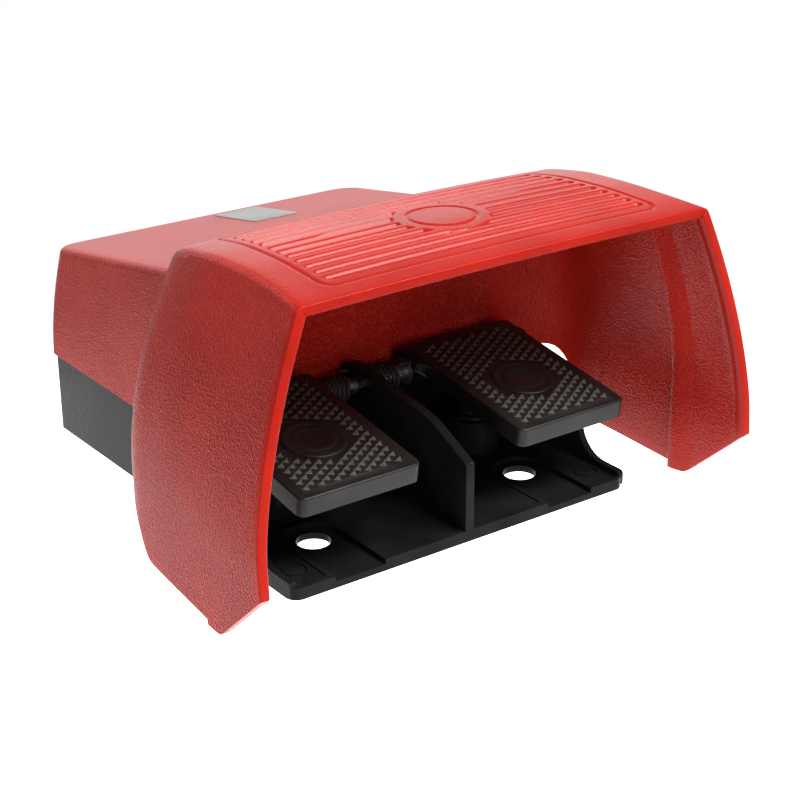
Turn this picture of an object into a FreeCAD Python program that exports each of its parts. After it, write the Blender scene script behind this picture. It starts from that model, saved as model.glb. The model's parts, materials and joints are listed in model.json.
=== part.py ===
import FreeCAD, Part
import math
import os

# Twin pedal foot switch with a guard hood
# Millimetres. X to the right, Y to the back, Z up, floor at z = 0.
# Depths are measured back from the front edge of the foot plate, and every piece is moved
# together at the end, so that the frame's origin is the middle of the footprint.

V = FreeCAD.Vector

# Pedals
pedal_inner_x = 28.0          # middle plane to the inner edge of a pedal
pedal_width = 63.0
pedal_length = 91.0
pedal_tilt = 8.4              # degrees, front edge low
pedal_front_y = -2.0          # front top edge
pedal_front_z = 48.0
pedal_plate = 4.5
pedal_skirt = 9.2
pedal_wall = 3.0
pedal_corner = 4.0
pedal_edge_round = 1.0
ear_width = 7.0
ear_radius = 10.0
ear_start = 60.0              # along the pedal
pad_radius = 5.5
pad_round = 4.0

# Pyramid tread
tread_columns = 7
tread_rows = 32
tread_pitch_x = 8.0
tread_pitch_y = 4.9           # between rows in line, with a shifted row halfway
tread_first = 7.0             # front edge to the first row
tread_half_width = 3.4
tread_half_depth = 2.05
tread_height = 1.2
badge_radius = 16.0           # smooth round spot
badge_from_front = 38.5

# Pivot axle and bushes
axle_y = 88.0
axle_z = 48.0
axle_radius = 4.0
axle_end = 1.2                # past the clip
axle_groove = 0.5
running_gap = 0.05            # radial, shafts in their holes
clearance = 0.3               # between pieces that only stand side by side
bush_wall = 1.5
bush_flange = 0.7
bush_flange_radius = 6.6
clip_thickness = 1.0
clip_radius = 6.5

# Return springs
spring_wire = 2.0
spring_radius = 6.2           # to the middle of the wire
spring_pitch = 2.6
spring_turns = 5
spring_end_radius = 8.0       # of the ends that run along the axle
spring_bend = 2.0
spring_grip = 2.5             # depth of an end in its hole

# Base casting
plate_height = 5.0
plate_corner = 6.0
plate_rim = 0.7               # raised border of the plate's pads
plate_rim_width = 2.4
cheek_gap = 1.1               # pedal to cheek
cheek_wall = 3.4
cheek_start_y = 2.0
cheek_rim_z = 8.0
cheek_rise_y = 31.5
cheek_rise_round = 17.0
cheek_shoulder_z = 33.0
cheek_boss_radius = 9.0
web_wall = 4.6
web_front_z = 38.7
web_knee_y = 28.0
web_knee_z = 51.8
web_knee_round = 50.0
web_boss_radius = 12.0
slot_half_width = 13.3        # open channels that lead to the fixing holes
slot_floor = 3.2
slot_end_y = 50.0
fixing_hole_radius = 8.0
fixing_hole_x = 60.0
fixing_hole_y = 37.4
dimple_radius = 6.0
dimple_depth = 0.6
dimple_x = 84.0
dimple_y = 17.0

# Case, lower half
case_half_width = 90.0
case_front_y = 101.0
case_rear_y = 228.0
case_height = 42.0
case_wall = 4.0
case_floor = 3.5
case_corner = 9.0
front_rim_z = case_height + 6.0    # the front wall stands higher than the seam
front_rim_wall = 5.0
shoulder_depth = 4.0
gasket_height = 1.5
pillar_radius = 7.0
pillar_inset = 4.5            # inside of the wall to the pillar's middle
pillar_gap = 2.0              # front pillars to the contact blocks

# Cover
cover_overhang = 2.3
cover_lip_drop = 1.0
cover_wall = 3.5
cover_rim_height = 4.0
cover_top_front_z = case_height + 76.8
cover_top_rear_z = case_height + 55.6
cover_top_rear_y = 220.0
cover_mid_z = case_height + 28.0
cover_mid_half_width = 90.3
cover_peak_half_width = 84.6
cover_corner = 9.0
cover_edge_round = 3.5
cover_pillar_height = 18.0
label_width = 25.0
label_length = 36.0
label_thickness = 0.3
label_x = 14.0
label_y = 200.0

# Guard hood
hood_wall = 4.5
hood_lip_top_y = -28.7        # front edge, carried on above the top
hood_lip_top_z = case_height + 118.0
hood_lip_bottom_y = -40.3     # front edge, lower corner
hood_lip_bottom_z = 32.0
hood_toe_y = -5.0             # foremost point on the floor
hood_heel_y = 5.5             # step behind the stiffening rib
hood_heel_z = 2.5
hood_arch_foot_y = 61.0
hood_arch_foot_z = 6.0
hood_arch_top_y = 84.0
hood_arch_z = case_height + 1.0
hood_arch_round = 8.0
hood_below = -8.0             # sections run past the floor and are trimmed
hood_low_z = case_height + 3.0
hood_mid_z = case_height + 63.0
hood_brow = 13.0             # fold to the flat of the top
hood_rib_start_y = -8.0
hood_rib_crest_y = 2.0
hood_rib_height = 2.2
hood_rib_step = 0.6
hood_bead_back = 1.0          # front edge to the thin bead
hood_bead_width = 4.0
hood_bead_height = 1.0
# Outer half-section at each depth, heights above the case's seam:
# depth, half-width low, half-width at mid height, half-width and height at the fold, top height
hood_tunnel = [
    (-45.0, 135.9, 124.0, 110.5, 101.9, 102.5),
    (-15.0, 134.8, 121.9, 105.6, 104.6, 106.2),
    (15.0, 133.6, 121.2, 103.6, 105.4, 107.2),
    (45.0, 132.4, 121.3, 103.6, 103.9, 105.4),
    (75.0, 130.4, 120.4, 101.6, 98.8, 100.7),
]
hood_flare = [
    (80.0, 127.8, 118.0, 99.8, 95.4, 96.9),
    (86.0, 121.5, 112.8, 96.9, 90.8, 92.0),
    (106.0, 92.3, 88.6, 84.9, 76.2, 76.8),
]
hood_stations = hood_tunnel + hood_flare

# Ribbed panel on the hood
panel_front_y = -21.0
panel_rear_y = 67.0
panel_half_width = 88.0
panel_taper = 4.0            # narrower on each side at the rear
panel_corner = 8.0
panel_line = 1.2
panel_line_depth = 0.6
groove_count = 11
groove_pitch = 7.3
groove_width = 3.6
groove_depth = 1.5
groove_margin = 4.5
disc_radius = 21.5
disc_y = 22.5
disc_ring_radius = 16.0
disc_ring_width = 1.6

# Plungers and boots
plunger_y = 74.0
plunger_radius = 3.5
plunger_top_z = 40.5
plunger_head_radius = 5.0
plunger_head = 2.0
plunger_gap = 0.5             # under the pedal's push pad at rest
turret_radius = 13.0
turret_height = 22.0
tunnel_half_width = 7.5
tunnel_roof_z = 15.5
tunnel_front_y = 66.0
boot_flange_radius = 9.5
boot_flange = 1.5
boot_crest_radius = 8.4
boot_root_radius = 6.2
boot_neck_radius = 5.4
boot_rib_count = 4
boot_rib_pitch = 3.0
boot_wall = 1.2

# Rockers
rocker_y = 105.0
rocker_z = 9.5
rocker_thickness = 3.0
rocker_width = 10.0
rocker_front_y = 69.5
rocker_rear_y = 133.5
rocker_hub_radius = 3.5
rocker_pin_radius = 1.5
rocker_pin_grip = 3.5
link_gap = 0.5                # plunger to rocker and rocker to button at rest

# Contact blocks
block_width = 26.0
block_front_y = 114.0
block_length = 34.0
block_bottom_z = 18.0
block_height = 20.0
block_step = 5.0              # raised middle of the block
block_foot_spread_x = 9.5
block_foot_spread_y = 12.5
block_foot_radius = 3.2
button_y = 130.0
button_radius = 2.5
button_length = 11.0
button_travel = 2.0

# Fasteners and terminals
small_screw_radius = 1.5
small_head_radius = 2.8
small_head = 2.4
small_screw_grip = 6.0
hole_gap = 0.2                # radial, round the shank of a screw
cover_screw_radius = 2.5
cover_screw_head_radius = 4.5
cover_screw_head = 5.0
cover_screw_recess = 6.0
cover_screw_grip = 13.0
socket_radius = 2.2
socket_depth = 2.6
hood_screw_radius = 3.0
hood_screw_head_radius = 5.0
hood_screw_head = 4.0
hood_screw_grip = 4.0
hood_screw_x = 66.0
hood_screw_low_z = case_height + 20.0
hood_screw_high_z = case_height + 58.0
terminal_count = 6
terminal_pitch = 11.0
terminal_depth = 18.0
terminal_y = 180.0
terminal_wall = 1.5
terminal_seat_z = 10.0
terminal_screw_radius = 2.6
terminal_screw_height = 6.0
earth_x = 30.0
earth_y = 205.0
earth_boss_radius = 7.0
earth_boss_height = 5.0
earth_screw_radius = 2.0
earth_head_radius = 4.0
earth_head = 3.0

# Cable entry
gland_z = 21.0
gland_thread_radius = 10.0
gland_flange_radius = 13.5
gland_flange = 4.0
gland_neck_radius = 9.0
gland_neck = 8.0
gland_bore_radius = 5.5
gland_nut_radius = 12.8
gland_nut_length = 12.0
gland_nut_wall = 2.0
gland_locknut = 4.0
gland_seal_wall = 1.5

# Sizes that follow from the ones above
pedal_outer_x = pedal_inner_x + pedal_width
pedal_middle_x = pedal_inner_x + pedal_width / 2
cheek_inner_x = pedal_outer_x + cheek_gap
plate_half_width = cheek_inner_x + cheek_wall
web_half = web_wall / 2
inside_x = case_half_width - case_wall
inside_rear_y = case_rear_y - case_wall
ledge_y = case_front_y + front_rim_wall
inside_front_y = ledge_y + case_wall
seat_z = case_height + gasket_height
rocker_top_z = rocker_z + rocker_thickness / 2
boot_top_z = plunger_top_z - plunger_head
gland_end_y = case_rear_y + gland_flange + clearance + gland_nut_length
origin_y = (hood_lip_bottom_y + gland_end_y) / 2


# Shapes and outlines

def block(x0, x1, y0, y1, z0, z1):
    return Part.makeBox(x1 - x0, y1 - y0, z1 - z0, V(x0, y0, z0))


def rod_x(x0, x1, y, z, radius):
    return Part.makeCylinder(radius, x1 - x0, V(x0, y, z), V(1, 0, 0))


def rod_y(x, y0, y1, z, radius):
    return Part.makeCylinder(radius, y1 - y0, V(x, y0, z), V(0, 1, 0))


def rod_z(x, y, z0, z1, radius):
    return Part.makeCylinder(radius, z1 - z0, V(x, y, z0), V(0, 0, 1))


def mirrored(shape):
    return shape.mirror(V(0, 0, 0), V(1, 0, 0))


def both(shape):
    return [shape, mirrored(shape)]


def fused(shapes):
    return shapes[0].multiFuse(shapes[1:]).removeSplitter()


def outline(corners, place):
    """A closed wire through corners (a, b, radius), each rounded by its radius."""
    starts = []
    middles = []
    ends = []
    for i, (a, b, radius) in enumerate(corners):
        corner = V(a, b, 0)
        last = corners[i - 1]
        following = corners[(i + 1) % len(corners)]
        to_last = (V(last[0], last[1], 0) - corner).normalize()
        to_next = (V(following[0], following[1], 0) - corner).normalize()
        half = to_last.getAngle(to_next) / 2
        reach = radius / math.tan(half)
        toward = (to_last + to_next).normalize()
        starts.append(corner + to_last * reach)
        middles.append(corner + toward * (radius / math.sin(half) - radius))
        ends.append(corner + to_next * reach)
    edges = []
    for i in range(len(corners)):
        if corners[i][2]:
            edges.append(Part.Arc(place(starts[i]), place(middles[i]), place(ends[i])).toShape())
        following = starts[(i + 1) % len(corners)]
        if ends[i].distanceToPoint(following) > 1e-6:
            edges.append(Part.LineSegment(place(ends[i]), place(following)).toShape())
    return Part.Wire(edges)


def side_prism(corners, x0, x1):
    """A prism along X over corners (y, z, radius)."""
    wire = outline(corners, lambda p: V(x0, p.x, p.y))
    return Part.Face(wire).extrude(V(x1 - x0, 0, 0))


def plan_prism(corners, z0, z1):
    """A prism along Z over corners (x, y, radius)."""
    wire = outline(corners, lambda p: V(p.x, p.y, z0))
    return Part.Face(wire).extrude(V(0, 0, z1 - z0))


def plan_box(x0, x1, y0, y1, z0, z1, radius):
    corners = [(x0, y0, radius), (x1, y0, radius), (x1, y1, radius), (x0, y1, radius)]
    return plan_prism(corners, z0, z1)


def hexagon_y(x, y0, y1, z, radius):
    points = []
    for i in range(7):
        angle = math.radians(60 * i)
        points.append(V(x + radius * math.cos(angle), y0, z + radius * math.sin(angle)))
    return Part.Face(Part.makePolygon(points)).extrude(V(0, y1 - y0, 0))


def rounded(shape, radius, wanted):
    edges = [edge for edge in shape.Edges if wanted(edge.BoundBox)]
    return shape.makeFillet(radius, edges)


def bevelled(shape, width, wanted):
    edges = [edge for edge in shape.Edges if wanted(edge.BoundBox)]
    return shape.makeChamfer(width, edges)


# Guard hood

def hood_profile(y):
    """Half-section values of the hood at a depth, between its stations."""
    for i in range(len(hood_stations) - 1):
        near = hood_stations[i]
        far = hood_stations[i + 1]
        if y <= far[0] or i == len(hood_stations) - 2:
            part = (y - near[0]) / (far[0] - near[0])
            depth, low, mid, fold, rise, top = [a + (b - a) * part for a, b in zip(near, far)]
            return [depth, low, mid, fold, case_height + rise, case_height + top]


def hood_section(y, inset, run=12.0):
    """The hood's cross-section at a depth, moved inward by inset."""
    first = hood_stations[0][0]
    last = hood_stations[-1][0]
    before = hood_profile(max(y - run, first))
    after = hood_profile(min(y + run, last))
    depth, low, mid, fold, fold_z, top_z = hood_profile(y)
    run_back = after[0] - before[0]
    narrowing = before[1] - after[1]
    length = math.hypot(run_back, narrowing)
    place_y = depth - inset * narrowing / length
    step = inset * run_back / length
    corner = 1.3 * step
    low_z = hood_low_z
    first_fold_z = hood_profile(first)[4]
    mid_z = low_z + (hood_mid_z - low_z) * (fold_z - low_z) / (first_fold_z - low_z)
    brow = fold - hood_brow
    edges = []
    halves = []
    for side in (-1, 1):
        halves.append((
            V(side * (low - step), place_y, hood_below),
            V(side * (low - step), place_y, low_z),
            V(side * (mid - step), place_y, mid_z - step * 0.3),
            V(side * (fold - corner), place_y, fold_z - corner),
            V(side * (brow - step * 0.4), place_y, top_z - step),
        ))
    left, right = halves
    edges.append(Part.LineSegment(left[0], left[1]).toShape())
    edges.append(Part.Arc(left[1], left[2], left[3]).toShape())
    edges.append(Part.LineSegment(left[3], left[4]).toShape())
    edges.append(Part.LineSegment(left[4], right[4]).toShape())
    edges.append(Part.LineSegment(right[4], right[3]).toShape())
    edges.append(Part.Arc(right[3], right[2], right[1]).toShape())
    edges.append(Part.LineSegment(right[1], right[0]).toShape())
    edges.append(Part.LineSegment(right[0], left[0]).toShape())
    return Part.Wire(edges)


def hood_form(inset):
    """The hood's outer form moved inward by inset: a smooth tunnel and a straight flare."""
    tunnel = [hood_section(station[0], inset) for station in hood_tunnel]
    flare = [hood_section(station[0], inset) for station in hood_tunnel[-1:] + hood_flare]
    return Part.makeLoft(tunnel, True, False).fuse(Part.makeLoft(flare, True, True))


def lip_point(back, z):
    """Depth of a line parallel to the hood's front edge."""
    slope = (hood_lip_top_y - hood_lip_bottom_y) / (hood_lip_top_z - hood_lip_bottom_z)
    return hood_lip_bottom_y + back + (z - hood_lip_bottom_z) * slope


def hood_side_view():
    """What the hood keeps, seen from the side."""
    rear = ledge_y
    corners = [
        (hood_lip_top_y, hood_lip_top_z, 0),
        (hood_lip_bottom_y, hood_lip_bottom_z, 4),
        (hood_toe_y, 0, 3),
        (hood_heel_y, 0, 1),
        (hood_heel_y, hood_heel_z, 1),
        (hood_arch_foot_y, hood_arch_foot_z, 6),
        (hood_arch_top_y, hood_arch_z, hood_arch_round),
        (rear, hood_arch_z, 0),
        (rear, hood_lip_top_z, 0),
    ]
    half = hood_stations[0][1] + 5
    return side_prism(corners, -half, half)


def hood_rib(outer):
    """Stiffening rib round the inside, with a sloping front and a square back."""
    half = hood_stations[0][1] + 5
    band = outer.common(block(-half, half, hood_rib_start_y, hood_heel_y, hood_below, hood_lip_top_z))
    crest = hood_wall + hood_rib_height
    sections = [
        hood_section(hood_rib_start_y - 3, hood_wall + hood_rib_step),
        hood_section(hood_rib_crest_y, crest),
        hood_section(hood_heel_y + 3, crest),
    ]
    return band.cut(Part.makeLoft(sections, True, True))


def hood_bead(outer):
    """Thin bead round the inside, behind the front edge."""
    half = hood_stations[0][1] + 5
    corners = [
        (lip_point(hood_bead_back, hood_lip_bottom_z), hood_lip_bottom_z, 0),
        (lip_point(hood_bead_back + hood_bead_width, hood_lip_bottom_z), hood_lip_bottom_z, 0),
        (lip_point(hood_bead_back + hood_bead_width, hood_lip_top_z), hood_lip_top_z, 0),
        (lip_point(hood_bead_back, hood_lip_top_z), hood_lip_top_z, 0),
    ]
    band = outer.common(side_prism(corners, -half, half))
    return band.cut(hood_form(hood_wall + hood_bead_height))


def panel_outline(margin, z0, z1):
    radius = panel_corner - margin
    rear_half = panel_half_width - panel_taper - margin
    corners = [
        (-(panel_half_width - margin), panel_front_y + margin, radius),
        (panel_half_width - margin, panel_front_y + margin, radius),
        (rear_half, panel_rear_y - margin, 1.5),
        (-rear_half, panel_rear_y - margin, 1.5),
    ]
    return plan_prism(corners, z0, z1)


def above_top(depth):
    """All that lies over the hood's top, less than depth under its surface."""
    half = panel_half_width + 5
    points = [V(-half, y, hood_profile(y)[5] - depth) for y, *sizes in hood_tunnel[::2]]
    first = V(-half, points[0].y, hood_lip_top_z)
    last = V(-half, points[-1].y, hood_lip_top_z)
    edges = [
        Part.Arc(*points).toShape(),
        Part.LineSegment(points[-1], last).toShape(),
        Part.LineSegment(last, first).toShape(),
        Part.LineSegment(first, points[0]).toShape(),
    ]
    return Part.Face(Part.Wire(edges)).extrude(V(2 * half, 0, 0))


def panel_cuts():
    """Grooves of the hood's ribbed panel, the line round it and the plain ring."""
    above = hood_lip_top_z
    below = cover_top_front_z
    middle_y = (panel_front_y + panel_rear_y) / 2
    slots = []
    for i in range(groove_count):
        y = middle_y + (i - (groove_count - 1) / 2) * groove_pitch
        along = (y - panel_front_y) / (panel_rear_y - panel_front_y)
        half = panel_half_width - panel_taper * along - groove_margin
        slots.append(plan_box(-half, half, y - groove_width / 2, y + groove_width / 2,
                              below, above, groove_width / 2))
    slots = Part.makeCompound(slots).cut(rod_z(0, disc_y, below, above, disc_radius))
    line = panel_outline(0, below, above).cut(panel_outline(panel_line, below, above))
    ring = rod_z(0, disc_y, below, above, disc_ring_radius)
    ring = ring.cut(rod_z(0, disc_y, below, above, disc_ring_radius - disc_ring_width))
    lines = Part.makeCompound([line, ring])
    return [above_top(groove_depth).common(slots), above_top(panel_line_depth).common(lines)]


def hood_screw_places():
    places = []
    for x in (-hood_screw_x, hood_screw_x):
        for z in (hood_screw_low_z, hood_screw_high_z):
            places.append((x, z))
    return places


def make_hood():
    outer = hood_form(0)
    inner = hood_form(hood_wall)
    half = hood_stations[0][1] + 5
    inner = inner.common(block(-half, half, hood_stations[0][0] - 20, case_front_y,
                               hood_below - 5, hood_lip_top_z))
    hood = outer.cut(inner)
    hood = hood.fuse([hood_rib(outer), hood_bead(outer)])
    hood = hood.common(hood_side_view())
    rim = case_half_width + clearance
    hood = hood.cut(block(-rim, rim, case_front_y - 1, ledge_y + 1, 0, front_rim_z))
    hood = hood.cut(panel_cuts())
    start = ledge_y - hood_screw_grip
    for x, z in hood_screw_places():
        hood = hood.cut(rod_y(x, start - 0.3, ledge_y + 1, z, hood_screw_radius + hole_gap))
    return hood


# Pedals

def pedal_place(shape):
    shape = shape.copy()
    shape.rotate(V(0, 0, 0), V(1, 0, 0), pedal_tilt)
    shape.translate(V(0, pedal_front_y, pedal_front_z))
    return shape


def pedal_coordinates(y, z):
    """A place in the frame as distance along the pedal and height over its top."""
    tilt = math.radians(pedal_tilt)
    dy = y - pedal_front_y
    dz = z - pedal_front_z
    return dy * math.cos(tilt) + dz * math.sin(tilt), dz * math.cos(tilt) - dy * math.sin(tilt)


def pyramid(x, y):
    sunk = -0.2
    corners = [
        V(x - tread_half_width, y, sunk),
        V(x, y - tread_half_depth, sunk),
        V(x + tread_half_width, y, sunk),
        V(x, y + tread_half_depth, sunk),
    ]
    tip = V(x, y, tread_height)
    faces = [Part.Face(Part.makePolygon(corners + corners[:1]))]
    for i in range(4):
        near = corners[i - 1]
        faces.append(Part.Face(Part.makePolygon([near, corners[i], tip, near])))
    return Part.Solid(Part.Shell(faces))


def tread():
    pyramids = []
    for row in range(tread_rows):
        y = tread_first + row * tread_pitch_y / 2
        count = tread_columns - row % 2
        for column in range(count):
            x = pedal_middle_x + (column - (count - 1) / 2) * tread_pitch_x
            away = math.hypot(x - pedal_middle_x, y - badge_from_front)
            if away > badge_radius + tread_half_depth:
                pyramids.append(pyramid(x, y))
    return pyramids


def spring_end_angle(turns):
    return math.radians(90 + 360 * turns)


def spring_end_place(angle, sign):
    """Where a spring's end lies round the axle, as y and z."""
    leg = math.sqrt(spring_end_radius ** 2 - spring_radius ** 2)
    y = spring_radius * math.cos(angle) - sign * leg * math.sin(angle)
    z = spring_radius * math.sin(angle) + sign * leg * math.cos(angle)
    return axle_y + y, axle_z + z


def make_pedal():
    top = plan_box(pedal_inner_x, pedal_outer_x, 0, pedal_length, -pedal_skirt, 0, pedal_corner)
    top = rounded(top, pedal_edge_round, lambda box: box.ZMin > -0.01)
    hollow = plan_box(pedal_inner_x + pedal_wall, pedal_outer_x - pedal_wall,
                      pedal_wall, pedal_length + 10, -pedal_skirt - 1, -pedal_plate, 1.5)
    pivot_y, pivot_z = pedal_coordinates(axle_y, axle_z)
    ear = [
        (ear_start, -2, 0),
        (pedal_length - 1, -2, 0),
        (pivot_y + ear_radius, pivot_z + ear_radius - 3, 3),
        (pivot_y + ear_radius, pivot_z - ear_radius, ear_radius - 0.02),
        (pivot_y - ear_radius, pivot_z - ear_radius, ear_radius - 0.5),
        (ear_start, -pedal_skirt + 0.5, 0),
    ]
    ears = [
        side_prism(ear, pedal_inner_x, pedal_inner_x + ear_width),
        side_prism(ear, pedal_outer_x - ear_width, pedal_outer_x),
    ]
    pedal = fused([top.cut(hollow)] + ears + tread())
    pedal = pedal_place(pedal)
    pad_z = plunger_top_z + plunger_gap
    under = pedal_front_z + (plunger_y - pedal_front_y) * math.tan(math.radians(pedal_tilt))
    pad = rod_z(pedal_middle_x, plunger_y, pad_z, under - 2, pad_radius)
    pad = rounded(pad, pad_round, lambda box: box.ZMax < pad_z + 0.01)
    pedal = pedal.fuse(pad)
    bore = axle_radius + running_gap + bush_wall
    pedal = pedal.cut(rod_x(0, pedal_outer_x + 1, axle_y, axle_z, bore))
    y, z = spring_end_place(spring_end_angle(spring_turns), 1)
    hole = rod_x(0, pedal_inner_x + ear_width / 2, y, z, spring_wire / 2 + hole_gap)
    return pedal.cut(hole)


def make_bushes():
    inside = axle_radius + running_gap
    bushes = []
    for x0, x1, flange_x in (
        (pedal_inner_x, pedal_inner_x + ear_width, pedal_inner_x - bush_flange),
        (pedal_outer_x - ear_width, pedal_outer_x, pedal_outer_x),
    ):
        sleeve = rod_x(x0, x1, axle_y, axle_z, inside + bush_wall)
        flange = rod_x(flange_x, flange_x + bush_flange, axle_y, axle_z, bush_flange_radius)
        hole = rod_x(0, pedal_outer_x + 5, axle_y, axle_z, inside)
        bushes.append(sleeve.fuse(flange).cut(hole))
    return Part.makeCompound(bushes)


# Return springs

def tangent_arc(start, direction, end):
    """The arc from start to end that leaves start along direction."""
    chord = end - start
    half = chord.Length / 2
    middle = start + chord * 0.5
    angle = direction.getAngle(chord)
    corner = start + direction * (half / math.cos(angle))
    bulge = (corner - middle).normalize() * (half * math.tan(angle / 2))
    return Part.Arc(start, middle + bulge, end).toShape()


def biarc(start, direction, end, end_direction):
    """Two arcs that meet smoothly, from one place and direction to another."""
    chord = end - start
    both_ways = direction + end_direction
    a = 2 * (direction.dot(end_direction) - 1)
    b = -2 * chord.dot(both_ways)
    c = chord.dot(chord)
    if abs(a) < 1e-9:
        reach = -c / b
    else:
        reach = (-b - math.sqrt(b * b - 4 * a * c)) / (2 * a)
    meeting = (start + direction * reach + end - end_direction * reach) * 0.5
    turned = (meeting - start - direction * reach).normalize()
    return [tangent_arc(start, direction, meeting), tangent_arc(meeting, turned, end)]


def coil_point(turns):
    angle = spring_end_angle(turns)
    return V(spring_first_x + turns * spring_pitch,
             axle_y + spring_radius * math.cos(angle),
             axle_z + spring_radius * math.sin(angle))


def coil_direction(turns):
    angle = spring_end_angle(turns)
    rise = spring_pitch / (2 * math.pi)
    return V(rise, -spring_radius * math.sin(angle), spring_radius * math.cos(angle)).normalize()


spring_length = spring_turns * spring_pitch
spring_first_x = (web_half + pedal_inner_x - spring_length) / 2


def make_spring():
    """Torsion spring round the axle, its ends bent along the axle into their holes."""
    leg = math.sqrt(spring_end_radius ** 2 - spring_radius ** 2) - spring_bend
    along = V(1, 0, 0)
    start = coil_point(0)
    start_way = coil_direction(0)
    start_way.x = 0
    start_way.normalize()
    end = coil_point(spring_turns)
    end_way = coil_direction(spring_turns)
    end_way.x = 0
    end_way.normalize()
    corner_in = start - start_way * leg
    bend_in = corner_in - start_way * spring_bend - along * spring_bend
    tip_in = V(web_half - spring_grip * 0.7, bend_in.y, bend_in.z)
    corner_out = end + end_way * leg
    bend_out = corner_out + end_way * spring_bend + along * spring_bend
    tip_out = V(pedal_inner_x + spring_grip, bend_out.y, bend_out.z)
    edges = [Part.LineSegment(tip_in, bend_in).toShape()]
    edges.append(tangent_arc(bend_in, along, corner_in))
    edges.append(Part.LineSegment(corner_in, start).toShape())
    for i in range(spring_turns * 2):
        a = i / 2
        b = a + 0.5
        way_a = start_way if i == 0 else coil_direction(a)
        way_b = end_way if i == spring_turns * 2 - 1 else coil_direction(b)
        edges += biarc(coil_point(a), way_a, coil_point(b), way_b)
    edges.append(Part.LineSegment(end, corner_out).toShape())
    edges.append(tangent_arc(corner_out, end_way, bend_out))
    edges.append(Part.LineSegment(bend_out, tip_out).toShape())
    path = Part.Wire(edges)
    ring = Part.Wire([Part.Circle(tip_in, along, spring_wire / 2).toShape()])
    shell = Part.BRepOffsetAPI.MakePipeShell(path)
    shell.add(ring)
    shell.build()
    shell.makeSolid()
    return shell.shape(), path


def least_gap(path, wire):
    """Smallest clear distance of a wound tube to itself, measured on points of its path."""
    step = wire / 3
    points = path.discretize(Distance=step)
    apart = int(3 * wire / step)
    least = 1e9
    for i in range(len(points)):
        for j in range(i + apart, len(points)):
            least = min(least, points[i].distanceToPoint(points[j]))
    return least - wire


# Base casting

def pillar_places():
    front_x = pedal_middle_x - block_width / 2 - pillar_gap - pillar_radius
    rear_x = inside_x - pillar_inset
    places = []
    for x, y in ((front_x, inside_front_y + pillar_inset), (rear_x, inside_rear_y - pillar_inset)):
        places += [(-x, y), (x, y)]
    return places


def small_screw_places():
    """Middles of the screws that hold the contact blocks and the terminal block."""
    places = []
    block_y = block_front_y + block_length / 2
    for side in (-1, 1):
        for turn in (-1, 1):
            x = side * (pedal_middle_x + turn * block_foot_spread_x)
            places.append((x, block_y + turn * block_foot_spread_y, block_bottom_z))
    reach = (terminal_count * terminal_pitch) / 2 + small_head_radius + 1.5
    for x in (-reach, reach):
        places.append((x, terminal_y, terminal_seat_z))
    return places


def plate():
    pads = plan_prism([
        (-plate_half_width, 0, plate_corner),
        (plate_half_width, 0, plate_corner),
        (plate_half_width, case_front_y + shoulder_depth, 0),
        (-plate_half_width, case_front_y + shoulder_depth, 0),
    ], 0, plate_height + plate_rim)
    rim = plate_rim_width
    pockets = []
    slot_out = fixing_hole_x + slot_half_width + rim
    slot_in = fixing_hole_x - slot_half_width - rim
    for x0, x1 in ((web_half + 1, slot_in), (slot_out, cheek_inner_x - 0.5)):
        pockets += both(plan_box(x0, x1, rim, case_front_y - 3, plate_height, 20, 3))
    behind = plan_box(slot_in - 5, slot_out + 5, slot_end_y + rim, case_front_y - 3,
                      plate_height, 20, 3)
    pockets += both(behind)
    for x0 in (fixing_hole_x - slot_half_width,):
        x1 = x0 + 2 * slot_half_width
        channel = plan_prism([
            (x0, -10, 0),
            (x1, -10, 0),
            (x1, slot_end_y, slot_half_width - 0.5),
            (x0, slot_end_y, slot_half_width - 0.5),
        ], slot_floor, 20)
        pockets += both(channel)
    dimple = rod_z(dimple_x, dimple_y, plate_height - dimple_depth, 20, dimple_radius)
    dimple = dimple.cut(rod_z(dimple_x, dimple_y, 0, 20, dimple_radius - 1.2))
    pockets += both(dimple)
    return pads.cut(pockets)


def cheek():
    boss = cheek_boss_radius
    corners = [
        (cheek_start_y, 1, 0),
        (cheek_start_y, cheek_rim_z, 2),
        (cheek_rise_y, cheek_rim_z, cheek_rise_round),
        (cheek_rise_y + 1, cheek_shoulder_z, 8),
        (axle_y - boss, axle_z + boss, 6),
        (axle_y + boss, axle_z + boss, boss - 0.02),
        (axle_y + boss, case_height, 2),
        (case_front_y + 1, case_height, 0),
        (case_front_y + 1, 1, 0),
    ]
    return side_prism(corners, cheek_inner_x, plate_half_width)


def web():
    rear = case_front_y - 1
    corners = [
        (0, 1, 0),
        (0, web_front_z, 1.5),
        (web_knee_y, web_knee_z, web_knee_round),
        (axle_y + web_boss_radius, axle_z + web_boss_radius + 0.5, web_boss_radius - 1),
        (rear, front_rim_z - 2, 0),
        (rear + 2, front_rim_z - 2, 0),
        (rear + 2, 1, 0),
    ]
    return side_prism(corners, -web_half, web_half)


def lower_case():
    y0 = case_front_y
    shell = plan_prism([
        (-case_half_width, y0, 0),
        (case_half_width, y0, 0),
        (case_half_width, case_rear_y, case_corner),
        (-case_half_width, case_rear_y, case_corner),
    ], 0, case_height)
    room = plan_box(-inside_x, inside_x, inside_front_y, inside_rear_y, case_floor,
                    case_height + 1, case_corner - case_wall)
    shoulders = block(-plate_half_width, plate_half_width, y0, y0 + shoulder_depth,
                      0, case_height)
    rim = block(-case_half_width, case_half_width, y0, ledge_y, case_height - 1, front_rim_z)
    parts = [shell.cut(room), shoulders, rim]
    for x, y in pillar_places():
        parts.append(rod_z(x, y, 0, case_height, pillar_radius))
    for x, y, z in small_screw_places():
        parts.append(rod_z(x, y, 0, z, block_foot_radius))
    parts.append(rod_z(earth_x, earth_y, 0, case_floor + earth_boss_height, earth_boss_radius))
    return parts


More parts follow.
